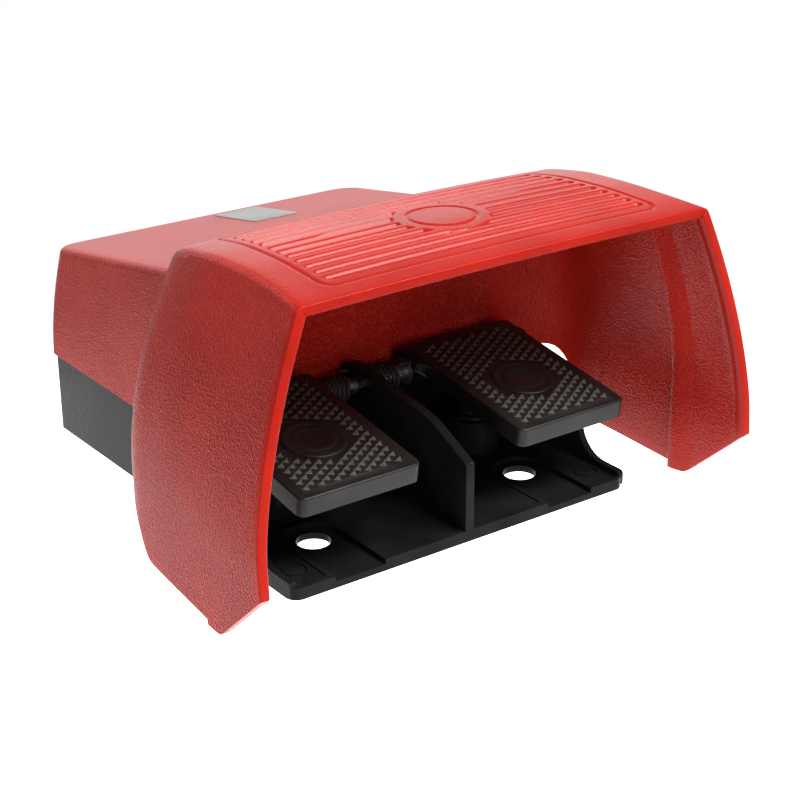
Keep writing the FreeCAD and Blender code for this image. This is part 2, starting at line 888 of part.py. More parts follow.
def turret(x):
    tower = rod_z(x, plunger_y, 0, turret_height, turret_radius)
    neck = block(x - turret_radius, x + turret_radius, plunger_y, case_front_y + 1,
                 0, turret_height - 3)
    return [tower, neck]


def base_cuts():
    cuts = []
    wide = plate_half_width + 1
    cuts.append(rod_x(-wide, wide, axle_y, axle_z, axle_radius))
    for angle_turns, sign in ((0, -1),):
        y, z = spring_end_place(spring_end_angle(angle_turns), sign)
        cuts.append(rod_x(-web_half - 1, web_half + 1, y, z, spring_wire / 2 + hole_gap))
    for side in (-1, 1):
        x = side * pedal_middle_x
        cuts.append(rod_z(side * fixing_hole_x, fixing_hole_y, -1, 20, fixing_hole_radius))
        cuts.append(block(x - tunnel_half_width, x + tunnel_half_width, tunnel_front_y,
                          inside_front_y + 1, case_floor, tunnel_roof_z))
        cuts.append(rod_z(x, plunger_y, case_floor + 1, turret_height + 1,
                          plunger_radius + running_gap))
        reach = tunnel_half_width + rocker_pin_grip
        cuts.append(rod_x(x - reach, x + reach, rocker_y, rocker_z, rocker_pin_radius))
    for x, y in pillar_places():
        cuts.append(rod_z(x, y, -1, cover_screw_recess, cover_screw_head_radius + hole_gap))
        cuts.append(rod_z(x, y, 0, case_height + 1, cover_screw_radius + hole_gap))
    for x, y, z in small_screw_places():
        cuts.append(rod_z(x, y, z - small_screw_grip - 0.5, z + 1, small_screw_radius + hole_gap))
    earth_z = case_floor + earth_boss_height
    cuts.append(rod_z(earth_x, earth_y, 2, earth_z + 1, earth_screw_radius + hole_gap))
    cuts.append(rod_y(0, inside_rear_y - 1, case_rear_y + 1, gland_z,
                      gland_thread_radius + hole_gap))
    return cuts


def make_base():
    parts = [plate()] + both(cheek()) + [web()] + lower_case()
    for side in (-1, 1):
        parts += turret(side * pedal_middle_x)
    return fused(parts).cut(base_cuts()).removeSplitter()


# Cover

def cover_body(inset, bottom_z, corner, edge, finished):
    """The cover's form moved inward by inset, its corners and edges finished by rounding or bevels."""
    front = ledge_y + inset
    rear_low = case_rear_y + cover_overhang
    lean = (rear_low - cover_top_rear_y) / (cover_top_rear_z - case_height)
    fall = (cover_top_front_z - cover_top_rear_z) / (cover_top_rear_y - ledge_y)

    def rear_y(z):
        return rear_low - (z - case_height) * lean - inset

    def top_z(y):
        return cover_top_front_z - (y - ledge_y) * fall - inset

    top_rear = (cover_top_rear_y - inset, top_z(cover_top_rear_y - inset))
    side = side_prism([
        (front, bottom_z, 0),
        (rear_y(bottom_z), bottom_z, 0),
        (rear_y(top_rear[1]), top_rear[1], 0),
        (front, top_z(front), 0),
    ], -case_half_width - 10, case_half_width + 10)
    low = case_half_width + cover_overhang - inset
    points = []
    for x in (-1, 1):
        points.append((
            V(x * low, 0, bottom_z),
            V(x * (cover_mid_half_width - inset), 0, cover_mid_z),
            V(x * (cover_peak_half_width - inset), 0, cover_top_front_z + 2),
        ))
    left, right = points
    outline_edges = [
        Part.Arc(left[0], left[1], left[2]).toShape(),
        Part.LineSegment(left[2], right[2]).toShape(),
        Part.Arc(right[2], right[1], right[0]).toShape(),
        Part.LineSegment(right[0], left[0]).toShape(),
    ]
    width = Part.Face(Part.Wire(outline_edges)).extrude(V(0, case_rear_y + 50, 0))
    body = side.common(width)
    behind = ledge_y + 30
    high = cover_top_rear_z - inset - 3

    def rear_corner(box):
        return box.ZLength > 20 and box.YMin > behind

    def top_edge(box):
        return box.ZMin > high and box.YMax > behind

    body = finished(body, corner, rear_corner)
    return finished(body, edge, top_edge)


def make_cover():
    bottom = case_height - cover_lip_drop
    cover = cover_body(0, bottom, cover_corner, cover_edge_round, rounded)
    room = cover_body(cover_wall, seat_z + cover_rim_height, cover_corner - cover_wall, 1.0,
                      bevelled)
    low_room = plan_box(-inside_x, inside_x, inside_front_y, inside_rear_y, bottom - 1,
                        seat_z + cover_rim_height, case_corner - case_wall)
    seat = plan_prism([
        (-case_half_width - clearance, 50, 0),
        (case_half_width + clearance, 50, 0),
        (case_half_width + clearance, case_rear_y + clearance, case_corner),
        (-case_half_width - clearance, case_rear_y + clearance, case_corner),
    ], bottom - 1, seat_z)
    cover = cover.cut([room, low_room, seat])
    pillars = []
    holes = []
    for x, y in pillar_places():
        top = case_height + cover_pillar_height
        pillars.append(rod_z(x, y, case_height, top, pillar_radius))
        holes.append(rod_z(x, y, case_height - 1, case_height + cover_screw_grip + 0.5,
                           cover_screw_radius + hole_gap))
    for x, z in hood_screw_places():
        holes.append(rod_y(x, ledge_y - 1, ledge_y + cover_wall + 1, z,
                           hood_screw_radius + hole_gap))
    return cover.fuse(pillars).cut(holes).removeSplitter()


def make_gasket():
    ring = plan_prism([
        (-case_half_width, ledge_y, 0),
        (case_half_width, ledge_y, 0),
        (case_half_width, case_rear_y, case_corner),
        (-case_half_width, case_rear_y, case_corner),
    ], case_height, seat_z)
    hole = plan_box(-inside_x, inside_x, inside_front_y, inside_rear_y, case_height - 1,
                    seat_z + 1, case_corner - case_wall)
    cuts = [hole]
    for x, y in pillar_places():
        cuts.append(rod_z(x, y, case_height - 1, seat_z + 1, pillar_radius + clearance))
    return ring.cut(cuts)


def make_label():
    fall = (cover_top_front_z - cover_top_rear_z) / (cover_top_rear_y - ledge_y)
    z = cover_top_front_z - (label_y - ledge_y) * fall
    label = plan_box(-label_width / 2, label_width / 2, -label_length / 2, label_length / 2,
                     0, label_thickness, 1.5)
    label.rotate(V(0, 0, 0), V(1, 0, 0), -math.degrees(math.atan(fall)))
    label.translate(V(label_x, label_y, z))
    return label


# Pieces of the mechanism

def make_axle():
    end = plate_half_width + clip_thickness + axle_end
    axle = rod_x(-end, end, axle_y, axle_z, axle_radius)
    axle = axle.makeChamfer(0.6, axle.Edges)
    for x in (-plate_half_width - clip_thickness, plate_half_width):
        ring = rod_x(x, x + clip_thickness, axle_y, axle_z, axle_radius + 1)
        groove = rod_x(x, x + clip_thickness, axle_y, axle_z, axle_radius - axle_groove)
        axle = axle.cut(ring.cut(groove))
    return axle


def make_clips():
    clip = rod_x(plate_half_width, plate_half_width + clip_thickness, axle_y, axle_z, clip_radius)
    clip = clip.cut(rod_x(0, plate_half_width + 5, axle_y, axle_z, axle_radius - axle_groove))
    opening = block(plate_half_width - 1, plate_half_width + 5, axle_y - 2.5, axle_y + 2.5,
                    axle_z - 20, axle_z)
    return Part.makeCompound(both(clip.cut(opening)))


def make_plunger():
    x = pedal_middle_x
    bottom = rocker_top_z + link_gap
    rod = rod_z(x, plunger_y, bottom, plunger_top_z - 1, plunger_radius)
    rod = bevelled(rod, plunger_radius / 2, lambda box: box.ZMax < bottom + 0.01)
    head = rod_z(x, plunger_y, boot_top_z, plunger_top_z, plunger_head_radius)
    head = bevelled(head, 0.6, lambda box: box.ZMin > plunger_top_z - 0.01)
    return rod.fuse(head).removeSplitter()


def make_boot():
    """Rubber bellows, a ribbed sleeve turned round the plunger."""
    z = turret_height
    grip = plunger_radius + 0.3
    outer = [(boot_flange_radius, z), (boot_flange_radius, z + boot_flange)]
    inner = [(boot_root_radius - boot_wall, z)]
    z += boot_flange
    outer.append((boot_root_radius, z))
    inner.append((boot_root_radius - boot_wall, z))
    for i in range(boot_rib_count):
        middle = z + boot_rib_pitch / 2
        outer.append((boot_crest_radius, middle))
        inner.append((boot_crest_radius - boot_wall, middle))
        z += boot_rib_pitch
        outer.append((boot_root_radius, z))
        inner.append((boot_root_radius - boot_wall, z))
    outer += [(boot_neck_radius, z + 0.5), (boot_neck_radius, boot_top_z)]
    inner += [(grip, z + 0.5), (grip, boot_top_z)]
    points = [V(r, 0, height) for r, height in outer + inner[::-1]]
    face = Part.Face(Part.makePolygon(points + points[:1]))
    boot = face.revolve(V(0, 0, 0), V(0, 0, 1), 360)
    boot.translate(V(pedal_middle_x, plunger_y, 0))
    return boot


def make_rocker():
    x0 = pedal_middle_x - rocker_width / 2
    x1 = x0 + rocker_width
    low = rocker_z - rocker_thickness / 2
    corners = [
        (rocker_front_y, low, 1),
        (rocker_rear_y, low, 1),
        (rocker_rear_y, rocker_top_z, 1),
        (rocker_front_y, rocker_top_z, 1),
    ]
    hub = rod_x(x0, x1, rocker_y, rocker_z, rocker_hub_radius)
    lever = fused([side_prism(corners, x0, x1), hub])
    return lever.cut(rod_x(x0 - 1, x1 + 1, rocker_y, rocker_z, rocker_pin_radius + running_gap))


def make_rocker_pins():
    reach = tunnel_half_width + rocker_pin_grip
    pin = rod_x(pedal_middle_x - reach, pedal_middle_x + reach, rocker_y, rocker_z,
                rocker_pin_radius)
    return Part.makeCompound(both(pin))


def make_contact_block():
    x0 = pedal_middle_x - block_width / 2
    x1 = x0 + block_width
    y1 = block_front_y + block_length
    top = block_bottom_z + block_height
    body = plan_box(x0, x1, block_front_y, y1, block_bottom_z, top, 1.5)
    crown_half = block_foot_spread_x - small_head_radius - clearance
    crown = plan_box(pedal_middle_x - crown_half, pedal_middle_x + crown_half,
                     block_front_y + 4, y1 - 4, top - 1, top + block_step, 1.0)
    body = fused([body, crown])
    cuts = [rod_z(pedal_middle_x, button_y, block_bottom_z - 1, button_top() + button_travel + 1,
                  button_radius + running_gap)]
    for x, y, z in small_screw_places():
        cuts.append(rod_z(x, y, z - 1, z + block_height + block_step + 1,
                          small_screw_radius + hole_gap))
    for y in (block_front_y, y1 - 6):
        for side in (-1, 1):
            x = pedal_middle_x + side * (block_width / 2)
            cuts.append(block(x - 3, x + 3, y - 1, y + 7, top - 6, top + 1))
    body = body.cut(cuts)
    return body


def button_top():
    return rocker_top_z + link_gap + button_length


def make_button():
    bottom = rocker_top_z + link_gap
    rod = rod_z(pedal_middle_x, button_y, bottom, bottom + button_length, button_radius)
    return bevelled(rod, 1.0, lambda box: box.ZMax < bottom + 0.01)


def make_terminal_block():
    half = terminal_count * terminal_pitch / 2
    ears = half + 2 * small_head_radius + 3
    z0 = terminal_seat_z
    y0 = terminal_y - terminal_depth / 2
    y1 = terminal_y + terminal_depth / 2
    body = block(-half, half, y0, y1, z0, z0 + block_height)
    flange = block(-ears, ears, terminal_y - 5, terminal_y + 5, z0, z0 + block_height)
    body = fused([body, flange])
    cuts = []
    for i in range(terminal_count):
        x = (i - (terminal_count - 1) / 2) * terminal_pitch
        room = terminal_pitch / 2 - terminal_wall / 2
        for y in (y0, y1):
            cuts.append(block(x - room, x + room, y - 4, y + 4, z0 + 6, z0 + block_height + 1))
        cuts.append(rod_z(x, terminal_y, z0 + block_height - terminal_screw_height - 1,
                          z0 + block_height + 1, terminal_screw_radius + hole_gap))
    for x, y, z in small_screw_places():
        cuts.append(rod_z(x, y, z - 1, z + block_height + block_step + 1,
                          small_screw_radius + hole_gap))
    return body.cut(cuts)


def slotted_screw(x, y, z, radius, length, head_radius, head):
    """A screw down into z, its head above."""
    shank = rod_z(x, y, z - length, z + 0.1, radius)
    top = rod_z(x, y, z, z + head, head_radius)
    slot = block(x - head_radius, x + head_radius, y - 0.5, y + 0.5, z + head - 1, z + head + 1)
    return fused([shank, top]).cut(slot)


def make_small_screws():
    length = block_height + small_screw_grip
    return Part.makeCompound([
        slotted_screw(x, y, z + block_height, small_screw_radius, length, small_head_radius,
                      small_head)
        for x, y, z in small_screw_places()
    ])


def make_terminal_screws():
    z = terminal_seat_z + block_height
    screws = []
    for i in range(terminal_count):
        x = (i - (terminal_count - 1) / 2) * terminal_pitch
        screw = rod_z(x, terminal_y, z - terminal_screw_height - 1, z - 1, terminal_screw_radius)
        slot = block(x - 3, x + 3, terminal_y - 0.5, terminal_y + 0.5, z - 2, z)
        screws.append(screw.cut(slot))
    return Part.makeCompound(screws)


def make_earth_screw():
    z = case_floor + earth_boss_height
    return slotted_screw(earth_x, earth_y, z, earth_screw_radius, z - 2.5, earth_head_radius,
                         earth_head)


def make_cover_screws():
    screws = []
    for x, y in pillar_places():
        z = cover_screw_recess
        head = rod_z(x, y, z - cover_screw_head, z, cover_screw_head_radius)
        shank = rod_z(x, y, z - 0.1, case_height + cover_screw_grip, cover_screw_radius)
        socket = rod_z(x, y, z - cover_screw_head - 1, z - cover_screw_head + socket_depth,
                       socket_radius)
        screws.append(fused([head, shank]).cut(socket))
    return Part.makeCompound(screws)


def make_hood_screws():
    screws = []
    y = ledge_y + cover_wall
    for x, z in hood_screw_places():
        head = rod_y(x, y, y + hood_screw_head, z, hood_screw_head_radius)
        shank = rod_y(x, ledge_y - hood_screw_grip, y + 0.1, z, hood_screw_radius)
        socket = rod_y(x, y + hood_screw_head - socket_depth, y + hood_screw_head + 1, z,
                       socket_radius)
        screws.append(fused([head, shank]).cut(socket))
    return Part.makeCompound(screws)


# Cable gland

def make_gland_body():
    y = case_rear_y
    inner_end = inside_rear_y - gland_locknut - 2
    body = fused([
        rod_y(0, inner_end, y + 0.1, gland_z, gland_thread_radius),
        hexagon_y(0, y, y + gland_flange, gland_z, gland_flange_radius),
        rod_y(0, y + gland_flange - 0.1, y + gland_flange + gland_neck, gland_z,
              gland_neck_radius),
    ])
    return body.cut(rod_y(0, inner_end - 1, y + 50, gland_z, gland_bore_radius))


def make_gland_locknut():
    y = inside_rear_y - gland_locknut
    nut = hexagon_y(0, y, inside_rear_y, gland_z, gland_flange_radius)
    return nut.cut(rod_y(0, y - 1, inside_rear_y + 1, gland_z, gland_thread_radius))


def make_gland_nut():
    y0 = case_rear_y + gland_flange + clearance
    y1 = y0 + gland_nut_length
    nut = hexagon_y(0, y0, y1, gland_z, gland_nut_radius)
    crown = rod_y(0, y0, y1, gland_z, gland_nut_radius)
    crown = bevelled(crown, 2.0, lambda box: box.YMin > y1 - 0.01)
    nut = nut.common(crown)
    hollow = rod_y(0, y0 - 1, y1 - gland_nut_wall, gland_z, gland_neck_radius)
    mouth = rod_y(0, y0, y1 + 1, gland_z, gland_bore_radius + 1)
    return nut.cut([hollow, mouth])


def make_gland_seal():
    y0 = case_rear_y + gland_flange + gland_neck
    y1 = case_rear_y + gland_flange + clearance + gland_nut_length - gland_nut_wall
    seal = rod_y(0, y0, y1, gland_z, gland_neck_radius - clearance)
    return seal.cut(rod_y(0, y0 - 1, y1 + 1, gland_z, gland_bore_radius - gland_seal_wall))


# All pieces

def pieces():
    pedal = make_pedal()
    bushes = make_bushes()
    spring, spring_path = make_spring()
    print("spring gap", round(least_gap(spring_path, spring_wire), 2), "mm")
    made = {
        "base_casting": make_base(),
        "guard_hood": make_hood(),
        "case_cover": make_cover(),
        "housing_gasket": make_gasket(),
        "rating_label": make_label(),
        "pivot_axle": make_axle(),
        "axle_clips": make_clips(),
        "rocker_pins": make_rocker_pins(),
        "block_screws": make_small_screws(),
        "terminal_block": make_terminal_block(),
        "terminal_screws": make_terminal_screws(),
        "earth_screw": make_earth_screw(),
        "cover_screws": make_cover_screws(),
        "hood_screws": make_hood_screws(),
        "gland_body": make_gland_body(),
        "gland_locknut": make_gland_locknut(),
        "gland_nut": make_gland_nut(),
        "gland_seal": make_gland_seal(),
    }
    pairs = {
        "pedal": pedal,
        "pedal_bushes": bushes,
        "return_spring": spring,
        "plunger": make_plunger(),
        "plunger_boot": make_boot(),
        "rocker": make_rocker(),
        "contact_block": make_contact_block(),
        "switch_button": make_button(),
    }
    for name, shape in pairs.items():
        made[name + "_right"] = shape
        made[name + "_left"] = mirrored(shape)
    return made


os.makedirs("parts", exist_ok=True)
for name, shape in pieces().items():
    shape.translate(V(0, -origin_y, 0))
    shape.exportStep("parts/" + name + ".step")
    if not shape.isValid():
        print("not valid:", name)
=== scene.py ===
import json
import math

import bmesh
import bpy
from mathutils import Matrix, Vector


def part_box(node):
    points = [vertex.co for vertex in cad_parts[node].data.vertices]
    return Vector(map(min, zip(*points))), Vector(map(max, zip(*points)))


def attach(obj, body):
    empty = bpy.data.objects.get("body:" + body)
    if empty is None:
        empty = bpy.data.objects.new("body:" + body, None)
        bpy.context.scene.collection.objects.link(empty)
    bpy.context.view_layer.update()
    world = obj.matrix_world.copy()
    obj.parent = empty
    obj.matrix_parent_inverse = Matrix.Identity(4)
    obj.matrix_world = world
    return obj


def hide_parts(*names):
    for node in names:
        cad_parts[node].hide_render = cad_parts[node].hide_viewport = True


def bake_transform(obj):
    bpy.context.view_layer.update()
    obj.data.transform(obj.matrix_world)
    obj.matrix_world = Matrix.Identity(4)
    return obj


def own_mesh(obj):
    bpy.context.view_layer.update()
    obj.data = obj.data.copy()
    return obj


# Twin pedal foot switch with a guard hood.
# Its pieces are given in millimetres, with depths measured back from the foot plate's front edge.
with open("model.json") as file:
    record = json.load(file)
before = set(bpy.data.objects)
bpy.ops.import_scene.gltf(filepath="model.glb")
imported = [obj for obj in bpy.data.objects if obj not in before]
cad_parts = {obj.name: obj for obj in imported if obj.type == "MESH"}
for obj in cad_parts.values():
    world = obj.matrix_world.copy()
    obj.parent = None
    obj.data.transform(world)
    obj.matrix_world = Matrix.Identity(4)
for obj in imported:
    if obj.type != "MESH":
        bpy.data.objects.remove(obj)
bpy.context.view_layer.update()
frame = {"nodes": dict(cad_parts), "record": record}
mm = 0.001
plate_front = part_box("base_casting")[0][1]


# Picture: the camera of the photograph, a pale floor and soft studio light.
# The floor is a plain sheet that runs far past the part and glows brighter near it.
# Places and sizes of this section are in metres.
camera_place = (-0.45492, plate_front - 0.57199, 0.38226)
camera_turn = math.radians(-36.037)
camera_pitch = math.radians(66.838)
camera_roll = math.radians(-0.172)
camera_lens = 81.48
film_width = 36
bpy.ops.object.camera_add(location=camera_place)
camera = bpy.context.object
looking = (Matrix.Rotation(camera_turn, 4, "Z") @ Matrix.Rotation(camera_pitch, 4, "X")
           @ Matrix.Rotation(camera_roll, 4, "Z"))
camera.rotation_euler = looking.to_euler()
camera.data.lens = camera_lens
camera.data.sensor_width = film_width
bpy.context.scene.camera = camera
bpy.context.scene.view_settings.view_transform = "Standard"


def studio_light(name, place, aim, size, power):
    """A soft white panel that faces its aim, with its power in watts."""
    bpy.ops.object.light_add(type="AREA", location=place)
    lamp = bpy.context.object
    lamp.name = name
    lamp.rotation_euler = (Vector(place) - Vector(aim)).to_track_quat("Z", "Y").to_euler()
    lamp.data.shape = "RECTANGLE"
    lamp.data.size = size[0]
    lamp.data.size_y = size[1]
    lamp.data.energy = power


studio_light("light_key", (0.6, -1.1, 1.75), (0, 0, 0.1), (1.4, 0.9), 108)
studio_light("light_front", (-0.3, -1.5, 0.45), (0, 0.1, 0.08), (0.9, 0.4), 8)
studio_light("light_rear", (0.7, 2.3, 0.6), (0, 0, 0.1), (3.2, 1.0), 13)
studio_light("light_left", (-1.4, 0.5, 1.0), (0, 0, 0.08), (0.35, 0.35), 15)
room_light = 0.28
world = bpy.data.worlds.new("studio")
bpy.context.scene.world = world
world.use_nodes = True
world.node_tree.nodes["Background"].inputs["Color"].default_value = (1, 1, 1, 1)
world.node_tree.nodes["Background"].inputs["Strength"].default_value = room_light

# the glow falls from near to far between two distances from the part's middle
floor_size = 30
floor_drop = 0.0005
floor_grey = 0.15
near_glow = 2.6
far_glow = 0.78
glow_falls_from = 0.2
glow_falls_to = 0.3
gradient_reach = 0.5
bpy.ops.mesh.primitive_plane_add(size=floor_size, location=(0, 0, -floor_drop))
floor = bpy.context.object
floor.name = "floor"
floor_paint = bpy.data.materials.new("floor_paper")
floor_paint.use_nodes = True
floor_shader = floor_paint.node_tree.nodes["Principled BSDF"]
floor_shader.inputs["Base Color"].default_value = (floor_grey, floor_grey, floor_grey, 1)
floor_shader.inputs["Emission Color"].default_value = (1, 1, 1, 1)
floor_shader.inputs["Roughness"].default_value = 0.9
floor_shader.inputs["Specular IOR Level"].default_value = 0.1
floor_nodes = floor_paint.node_tree
floor_place = floor_nodes.nodes.new("ShaderNodeTexCoord")
floor_scale = floor_nodes.nodes.new("ShaderNodeVectorMath")
floor_scale.operation = "MULTIPLY"
floor_scale.inputs[1].default_value = (1 / gradient_reach,) * 3
floor_centre = floor_nodes.nodes.new("ShaderNodeTexGradient")
floor_centre.gradient_type = "SPHERICAL"
floor_glow = floor_nodes.nodes.new("ShaderNodeMapRange")
floor_glow.inputs["From Min"].default_value = 1 - glow_falls_to / gradient_reach
floor_glow.inputs["From Max"].default_value = 1 - glow_falls_from / gradient_reach
floor_glow.inputs["To Min"].default_value = far_glow
floor_glow.inputs["To Max"].default_value = near_glow
floor_nodes.links.new(floor_place.outputs["Object"], floor_scale.inputs[0])
floor_nodes.links.new(floor_scale.outputs[0], floor_centre.inputs["Vector"])
floor_nodes.links.new(floor_centre.outputs["Fac"], floor_glow.inputs["Value"])
floor_nodes.links.new(floor_glow.outputs["Result"], floor_shader.inputs["Emission Strength"])
floor.data.materials.append(floor_paint)


# Guard hood: a bell-mouthed aluminium casting with red textured powder coat.
# Its rear stands against the case cover and four screws hold it from inside.
hood_wall = 4.5
# depth, half-width low, half-width and height at the fold, top height
hood_stations = [
    (-45, 135.9, 110.5, 143.9, 144.5),
    (-15, 134.8, 105.6, 146.6, 148.2),
    (15, 133.6, 103.6, 147.4, 149.2),
    (45, 132.4, 103.6, 145.9, 147.4),
    (75, 130.4, 101.6, 140.8, 142.7),
    (80, 127.8, 99.8, 137.4, 138.9),
    (86, 121.5, 96.9, 132.8, 134.0),
    (106, 92.3, 88.6, 118.2, 118.8),
]
# how far along the depth these sizes are eased into each other
hood_ease = 7
hood_lip_top = -30.0
hood_rear = 106.0
# side view of the lower edge: depth, height; it is eased except at the small step behind its foot
hood_lower_edge = [(-40.3, 32), (-5, 0), (5.5, 0), (5.9, 2.5), (61, 6), (84, 43), (106, 43)]
foot_step = (2, 20)
foot_soft = 1.2
arch_start = 50
arch_soft = 2.6
lip_low = -40.3
lip_low_height = 32
lip_lean = 11.6 / 128
bulge_start = 45.0
# depth, how sharply the side turns in towards the fold
bulge_powers = [(-45, 1.52), (15, 1.77), (75, 2.05), (106, 1.3)]
fold_round = 2.4
rim_round = 1.1
rib_start = -8.0
rib_crest = 2.0
rib_rear = 5.5
rib_height = 2.2
rib_soft = 0.6
bead_back = 1.0
bead_width = 4.0
bead_height = 1.0
bead_soft = 1.2
panel_front = -21.0
panel_rear = 69.0
panel_half = 89.0
panel_taper = 4.0
panel_corner = 8.0
panel_corner_rear = 1.5
panel_reach = 92.0
panel_low = 120.0
panel_line = 1.2
panel_line_depth = 0.6
panel_line_soft = 0.6
groove_count = 11
groove_pitch = 7.3
groove_half_width = 1.8
groove_depth = 1.5
groove_soft = 0.7
groove_margin = 4.5
disc_y = 22.5
disc_radius = 21.5
disc_soft = 0.5
ring_radius = 15.2
ring_half_width = 0.8


def between(table, value, column):
    """Linear value of a column at a first-column value, carried on past both ends."""
    last = len(table) - 2
    for i in range(last + 1):
        near, far = table[i], table[i + 1]
        if value <= far[0] or i == last:
            part = (value - near[0]) / (far[0] - near[0])
            return near[column] + (far[column] - near[column]) * part


def eased(table, value, column, reach):
    """The same, rounded off by a bell curve that ends at twice the reach."""
    total = 0
    weights = 0
    for step in range(-8, 9):
        weight = math.exp(-((step / 4) ** 2) / 2)
        total += weight * between(table, value + step * reach / 4, column)
        weights += weight
    return total / weights


# the eased sizes, kept for every quarter millimetre of depth
hood_sizes = {}


def hood_at(depth):
    """Half-width low, half-width and height at the fold, and top height at a depth."""
    key = round(depth * 4)
    for quarter in (key, key + 1):
        if quarter not in hood_sizes:
            hood_sizes[quarter] = [eased(hood_stations, quarter / 4, column, hood_ease)
                                   for column in (1, 2, 3, 4)]
    part = depth * 4 - key
    return [a + (b - a) * part for a, b in zip(hood_sizes[key], hood_sizes[key + 1])]


def hood_half_width(depth, height):
    """Half the hood's width at a depth and height: straight below, curving in to the fold."""
    low, fold, fold_z = hood_at(depth)[:3]
    part = min(max((height - bulge_start) / (fold_z - bulge_start), 0), 1)
    return low - (low - fold) * part ** between(bulge_powers, depth, 1)


def hood_side_point(row, part):
    """A place on the right side: row is its depth at the fold, part goes from edge to fold."""
    fold_z = hood_at(row)[2]
    foot = lip_low + (row - hood_lip_top) * (hood_rear - lip_low) / (hood_rear - hood_lip_top)
    if foot_step[0] <= foot <= foot_step[1]:
        foot_z = between(hood_lower_edge, foot, 1)
    else:
        foot_z = eased(hood_lower_edge, foot, 1, arch_soft if foot > arch_start else foot_soft)
    depth = foot + (row - foot) * part
    height = foot_z + (fold_z - foot_z) * part
    return Vector((hood_half_width(depth, height), depth, height))


def hood_top_point(row, across):
    """A place on the arched top, at a distance across from the middle."""
    fold, fold_z, top = hood_at(row)[1:]
    return Vector((across, row, top - (top - fold_z) * (across / fold) ** 2))


def steps(start, end, count):
    """Even steps from start on, without the end."""
    return [start + (end - start) * i / count for i in range(count)]


# the rows stand closest over the panel, so that its grooves come out clean
row_step = groove_pitch / 12
panel_rows = 76
panel_middle = (panel_front + panel_rear) / 2
rows = [hood_lip_top, -27.4, -24.8]
rows += [panel_middle + i * row_step for i in range(-panel_rows, panel_rows)]
rows += steps(70.5, hood_rear, 18) + [hood_rear]
side_parts = steps(0, 0.975, 24) + [0.975]
# shares of the panel's half-width, then of what is left up to the fold
panel_shares = steps(0, 0.27, 36) + steps(0.27, 0.88, 6) + steps(0.88, 1.03, 20) + [1.03]
brow_shares = [0.35, 0.7]


def panel_half_at(row):
    """Half the panel's width, which tapers to the rear."""
    along = (row - panel_front) / (panel_rear - panel_front)
    return panel_half - panel_taper * min(max(along, 0), 1)


def hood_row(row):
    """One line of points over the hood, from the left lower edge to the right one."""
    right = [hood_side_point(row, part) for part in side_parts]
    fold = hood_side_point(row, 1)
    near = right[-1]
    half = fold.x - fold_round
    brow = hood_top_point(row, half)
    for part in (0.25, 0.5, 0.75, 1):
        right.append(near * (1 - part) ** 2 + fold * 2 * part * (1 - part) + brow * part ** 2)
    panel = panel_half_at(row)
    edge = panel * panel_shares[-1]
    right += [hood_top_point(row, edge + (half - edge) * share) for share in brow_shares[::-1]]
    right += [hood_top_point(row, panel * share) for share in panel_shares[:0:-1]]
    left = [Vector((-p.x, p.y, p.z)) for p in right]
    return left + [hood_top_point(row, 0)] + right[::-1]


def step_down(distance, soft):
    """1 well inside a form, 0 outside it, rounded over soft on both sides of its edge."""
    part = min(max(0.5 - distance / (2 * soft), 0), 1)
    return part * part * (3 - 2 * part)


def panel_depth(x, y):
    """How deep the ribbed panel is cut at a place on the hood's top."""
    half = panel_half_at(y)
    radius = panel_corner if y < panel_middle else panel_corner_rear
    off_x = abs(x) - (half - radius)
    off_y = abs(y - panel_middle) - ((panel_rear - panel_front) / 2 - radius)
    outside = math.hypot(max(off_x, 0), max(off_y, 0)) + min(max(off_x, off_y), 0) - radius
    line = abs(outside + panel_line / 2) - panel_line / 2
    depth = panel_line_depth * step_down(line, panel_line_soft)
    number = round((y - panel_middle) / groove_pitch)
    if abs(number) <= (groove_count - 1) / 2:
        reach = half - groove_margin - groove_half_width
        groove = math.hypot(max(abs(x) - reach, 0), y - panel_middle - number * groove_pitch)
        disc = math.hypot(x, y - disc_y) - disc_radius
        cut = step_down(groove - groove_half_width, groove_soft) * (1 - step_down(disc, disc_soft))
        depth = max(depth, groove_depth * cut)
    ring = abs(math.hypot(x, y - disc_y) - ring_radius) - ring_half_width
    return max(depth, panel_line_depth * step_down(ring, disc_soft))


def on_panel(x, depth, height, margin=0):
    """Whether a place lies over the ribbed panel or within margin of its front or rear."""
    along = panel_front - margin < depth < panel_rear + margin
    return along and abs(x) < panel_reach and height > panel_low


def lip_at(height):
    """Depth of the leaning front lip at a height."""
    return lip_low + (height - lip_low_height) * lip_lean


def rib_rise(place):
    """How far the inner stiffening rib and bead stand in from the wall."""
    rise = 0
    if place.y > rib_start:
        rise = min((place.y - rib_start) / (rib_crest - rib_start), 1) * rib_height
        rise *= step_down(place.y - rib_rear, rib_soft)
    bead = abs(place.y - lip_at(place.z) - bead_back - bead_width / 2) - bead_width / 2
    return max(rise, bead_height * step_down(bead, bead_soft))


def use_only(piece):
    """Selects one piece and nothing else."""
    bpy.ops.object.select_all(action="DESELECT")
    piece.select_set(True)
    bpy.context.view_layer.objects.active = piece


def apply_modifier(piece, kind, **settings):
    use_only(piece)
    modifier = piece.modifiers.new(kind.lower(), kind)
    for name, value in settings.items():
        setattr(modifier, name, value)
    bpy.ops.object.modifier_apply(modifier=modifier.name)


def smooth(piece, degrees):
    use_only(piece)
    bpy.ops.object.shade_smooth_by_angle(angle=math.radians(degrees))


